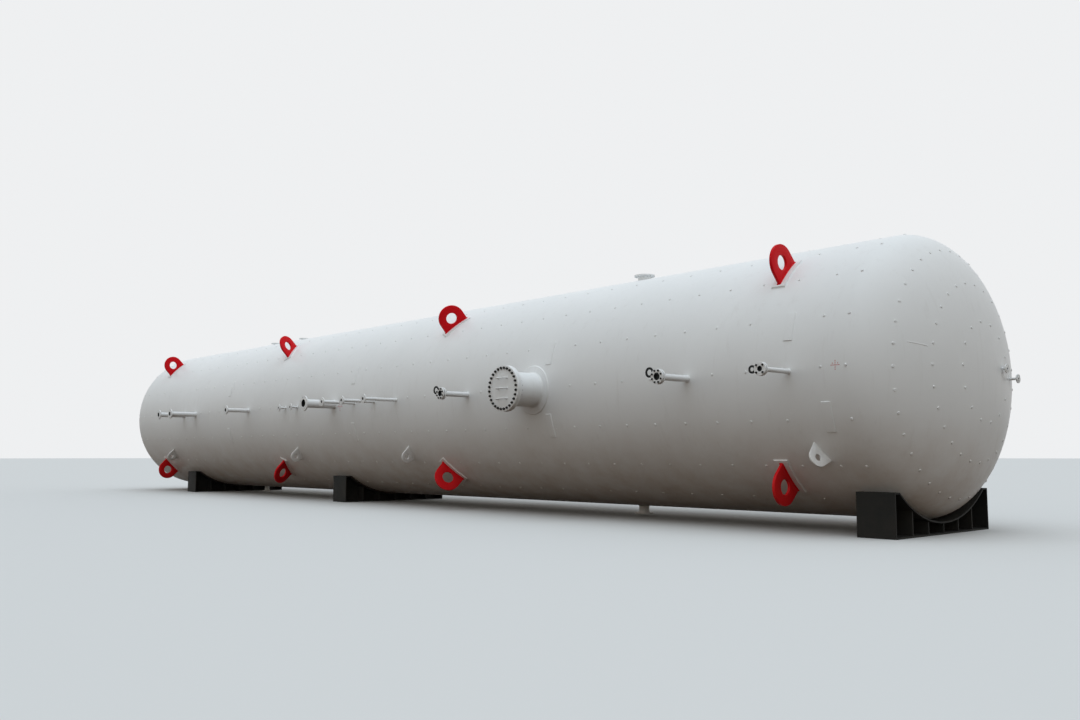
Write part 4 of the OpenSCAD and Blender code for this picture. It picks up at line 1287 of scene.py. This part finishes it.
def paint_material(name, base, rough=0.34, wave=0.0, grain=0.0001, grain_scale=320.0, dust_and_shade=0.0, streaks=0.0,
                   chips=0.0, soft_edge=0.0, metallic=0.0, tone=0.05, shine=0.08):
    """Painted or blackened steel. Tone drifts over metres and decimetres, the colour turns darker and browner
    low on the tank as road dust and as painted shade with a painted reflection of the warm ground, thin
    streaks run down, chips show dark steel, and the bump is a slow wave with a fine grain on it."""
    material, tree = node_tree(name)
    dust_and_shade_colour = bpy.context.scene.tank_colours.dust_and_shade
    place = add(tree, "TexCoord").outputs["Object"]
    wide, close = noise(tree, place, 0.45, 4.0), noise(tree, place, 5.0, 5.0, 0.6)
    darker = tuple(c * (1 - 2 * tone) for c in base)
    lighter = tuple(min(c * (1 + tone), 0.9) for c in base)
    surface = blended(tree, ranged(tree, wide, 0.3, 0.7, 0.0, 1.0), darker, lighter)
    surface = blended(tree, ranged(tree, close, 0.35, 0.75, 0.0, 0.25), surface, darker)
    # Darker and browner towards the bottom: road dust, and also painted shade and a painted reflection of the
    # warm ground below
    if dust_and_shade:
        height = add(tree, "SeparateXYZ", {0: place}).outputs[2]
        low = ranged(tree, height, 0.15, AXIS_Z - 0.5, 1.0, 0.0)
        patch = ranged(tree, noise(tree, place, 2.2, 6.0, 0.65), 0.35, 0.75, 0.25, 1.0)
        share = combined(tree, "MULTIPLY", combined(tree, "MULTIPLY", low, patch), dust_and_shade)
        surface = blended(tree, share, surface, tuple(dust_and_shade_colour))
    if streaks:
        squeezed = add(tree, "Mapping", {"Vector": place, "Scale": (9.0, 9.0, 0.55)}).outputs[0]
        runs = ranged(tree, noise(tree, squeezed, 1.0, 5.0, 0.7), 0.56, 0.80, 0.0, streaks)
        surface = blended(tree, runs, surface, tuple(0.55 * c for c in dust_and_shade_colour))
    if chips:
        spots = ranged(tree, noise(tree, place, 26.0, 8.0, 0.75), 0.70, 0.73, 0.0, chips)
        surface = blended(tree, spots, surface, (0.035, 0.025, 0.02))
    gloss = ranged(tree, noise(tree, place, 1.4, 5.0, 0.6), 0.3, 0.7, rough - 0.05, rough + 0.09)
    height = combined(tree, "ADD", combined(tree, "MULTIPLY", noise(tree, place, 1.1, 2.0), wave),
                      combined(tree, "MULTIPLY", noise(tree, place, grain_scale, 2.0), grain))
    bump = {"Height": height, "Distance": 1.0, "Strength": 1.0}
    if soft_edge:
        bump["Normal"] = add(tree, "Bevel", {"Radius": soft_edge}, samples=4).outputs[0]
    shader = add(tree, "BsdfPrincipled", {"Base Color": surface, "Roughness": gloss, "Metallic": metallic,
                                          "Specular IOR Level": shine,
                                          "Normal": add(tree, "Bump", bump).outputs[0]})
    add(tree, "OutputMaterial", {"Surface": shader.outputs[0]})
    return material


def finish(name):
    """The named finish, made the first time that it is asked for, apart from the frame's own materials."""
    label = name + "_finish"
    if label in bpy.data.materials:
        return bpy.data.materials[label]
    _, base, settings = FINISHES[name]
    if isinstance(base, str):
        base = tuple(getattr(bpy.context.scene.tank_colours, base))
    return paint_material(label, base, **settings)


def smoothing():
    """Node group that merges a solid's loose triangles and shades it smooth but for edges over 30 degrees."""
    group = bpy.data.node_groups.new("smooth_solid", "GeometryNodeTree")
    group.interface.new_socket("Geometry", in_out="INPUT", socket_type="NodeSocketGeometry")
    group.interface.new_socket("Geometry", in_out="OUTPUT", socket_type="NodeSocketGeometry")
    new, link = group.nodes.new, group.links.new
    merge = new("GeometryNodeMergeByDistance")
    faces, edges = new("GeometryNodeSetShadeSmooth"), new("GeometryNodeSetShadeSmooth")
    merge.inputs["Distance"].default_value = 1e-5
    edges.domain = "EDGE"
    edges.inputs["Shade Smooth"].default_value = False
    angle = new("GeometryNodeInputMeshEdgeAngle")
    over = new("FunctionNodeCompare")
    over.inputs[1].default_value = math.radians(30)
    link(angle.outputs[0], over.inputs[0])
    link(over.outputs[0], edges.inputs["Selection"])
    link(new("NodeGroupInput").outputs[0], merge.inputs["Geometry"])
    link(merge.outputs[0], faces.inputs["Geometry"])
    link(faces.outputs[0], edges.inputs["Geometry"])
    link(edges.outputs[0], new("NodeGroupOutput").inputs[0])
    return group


class TANK_OT_solids(bpy.types.Operator):
    """Finishes of the solids that stay as they are: pads, cradles and packings"""
    bl_idname = "tank.solids"
    bl_label = "Pads, cradles and packings"

    def execute(self, context):
        group = smoothing()
        for node, name in KEPT_SOLIDS.items():
            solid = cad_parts[node]
            solid.modifiers.new("smooth_solid", "NODES").node_group = group
            if not solid.material_slots:
                solid.data.materials.append(None)
            for slot in solid.material_slots:
                slot.material = finish(name)
        return {"FINISHED"}


def seen_colour(tree, seen, lit):
    """One colour where the camera, a reflection or glass looks, another where the light bounces."""
    path = add(tree, "LightPath").outputs
    looks = combined(tree, "MAXIMUM", path["Is Camera Ray"], path["Is Glossy Ray"])
    looks = combined(tree, "MAXIMUM", looks, path["Is Transmission Ray"])
    return blended(tree, looks, lit, seen)


def add_floor(scene, settings):
    """Round level floor, which shows one colour and gives the tank another."""
    mesh = bpy.data.meshes.new("floor")
    turn = round_turns(FLOOR_SIDES)
    rim = np.stack([np.cos(turn), np.sin(turn), 0 * turn], -1) * FLOOR_R
    mesh.from_pydata(rim.tolist(), [], [list(range(FLOOR_SIDES))])
    floor = bpy.data.objects.new("floor", mesh)
    scene.collection.objects.link(floor)
    material, tree = node_tree("floor_finish")
    seen = seen_colour(tree, tuple(settings.floor), tuple(settings.bounce))
    add(tree, "OutputMaterial", {"Surface": add(tree, "BsdfDiffuse", {"Color": seen}).outputs[0]})
    mesh.materials.append(material)


def add_sky(scene, settings):
    """Sky whose light runs from the horizon's colour to the zenith's, seen as an even backdrop."""
    scene.world = bpy.data.worlds.new("sky")
    scene.world.use_nodes = True
    tree = scene.world.node_tree
    tree.nodes.clear()
    direction = add(tree, "TexCoord").outputs["Generated"]
    rise = ranged(tree, add(tree, "SeparateXYZ", {0: direction}).outputs[2], 0.0, 1.0, 0.0, 1.0)
    lit = blended(tree, rise, tuple(settings.horizon), tuple(settings.zenith))
    seen = seen_colour(tree, tuple(settings.backdrop), lit)
    back = add(tree, "Background", {"Color": seen, "Strength": 1.0})
    add(tree, "OutputWorld", {"Surface": back.outputs[0]})


def add_lamp(scene, settings):
    """Soft lamp high above the tank."""
    lamp = bpy.data.lights.new("overhead", "SUN")
    lamp.energy, lamp.angle, lamp.color = settings.lamp_strength, math.radians(LAMP_SPREAD), settings.lamp
    holder = bpy.data.objects.new("overhead", lamp)
    holder.rotation_euler = (math.radians(settings.lamp_tilt), 0, -math.radians(settings.lamp_turn))
    scene.collection.objects.link(holder)


def add_camera(scene):
    """Camera at the photo's place and with its angle of view."""
    camera = bpy.data.cameras.new("camera")
    camera.sensor_fit, camera.sensor_width, camera.lens = "HORIZONTAL", SENSOR_WIDTH, LENS
    camera.clip_start, camera.clip_end = NEAREST, FURTHEST
    viewer = bpy.data.objects.new("camera", camera)
    viewer.location = CAMERA_PLACE
    viewer.rotation_euler = (math.pi / 2 + CAMERA_RISE, 0, CAMERA_TURN)
    scene.collection.objects.link(viewer)
    scene.camera = viewer


class TANK_OT_stage(bpy.types.Operator):
    """Floor, sky, lamp and camera"""
    bl_idname = "tank.stage"
    bl_label = "Stage"

    def execute(self, context):
        scene, settings = context.scene, context.scene.tank_stage
        add_floor(scene, settings)
        add_sky(scene, settings)
        add_lamp(scene, settings)
        add_camera(scene)
        scene.view_settings.view_transform = "Standard"
        return {"FINISHED"}


GROUPS = {"tank_shell": ShellSizes, "tank_fittings": FittingSizes, "tank_colours": PaintColours,
          "tank_stage": StageSettings}
OPERATORS = (TANK_OT_courses, TANK_OT_heads, TANK_OT_seams, TANK_OT_necks, TANK_OT_neck_welds,
             TANK_OT_manhole, TANK_OT_blanks, TANK_OT_lifting_lugs, TANK_OT_lashing_lugs,
             TANK_OT_platform_pads, TANK_OT_clip_nuts, TANK_OT_marks, TANK_OT_solids, TANK_OT_stage)


class TANK_PT_panel(bpy.types.Panel):
    """Steps and sizes of the tank's looks"""
    bl_label = "Pressure tank"
    bl_idname = "TANK_PT_panel"
    bl_space_type = "VIEW_3D"
    bl_region_type = "UI"
    bl_category = "Tank"

    def draw(self, context):
        column = self.layout.column(align=True)
        for operator in OPERATORS:
            column.operator(operator.bl_idname)
        for name, group in GROUPS.items():
            box = self.layout.box()
            for prop in group.__annotations__:
                box.prop(getattr(context.scene, name), prop)


def register():
    """Registers the classes and hangs each group of sizes on the scene."""
    for kind in (*GROUPS.values(), *OPERATORS, TANK_PT_panel):
        bpy.utils.register_class(kind)
    for name, group in GROUPS.items():
        setattr(bpy.types.Scene, name, PointerProperty(type=group))


def unregister():
    """Takes away what register made."""
    for name in GROUPS:
        delattr(bpy.types.Scene, name)
    for kind in (TANK_PT_panel, *reversed(OPERATORS), *reversed(GROUPS.values())):
        bpy.utils.unregister_class(kind)


def main():
    """Runs every operator in order."""
    register()
    for operator in OPERATORS:
        group, name = operator.bl_idname.split(".")
        getattr(getattr(bpy.ops, group), name)()


if __name__ == "__main__":
    main()
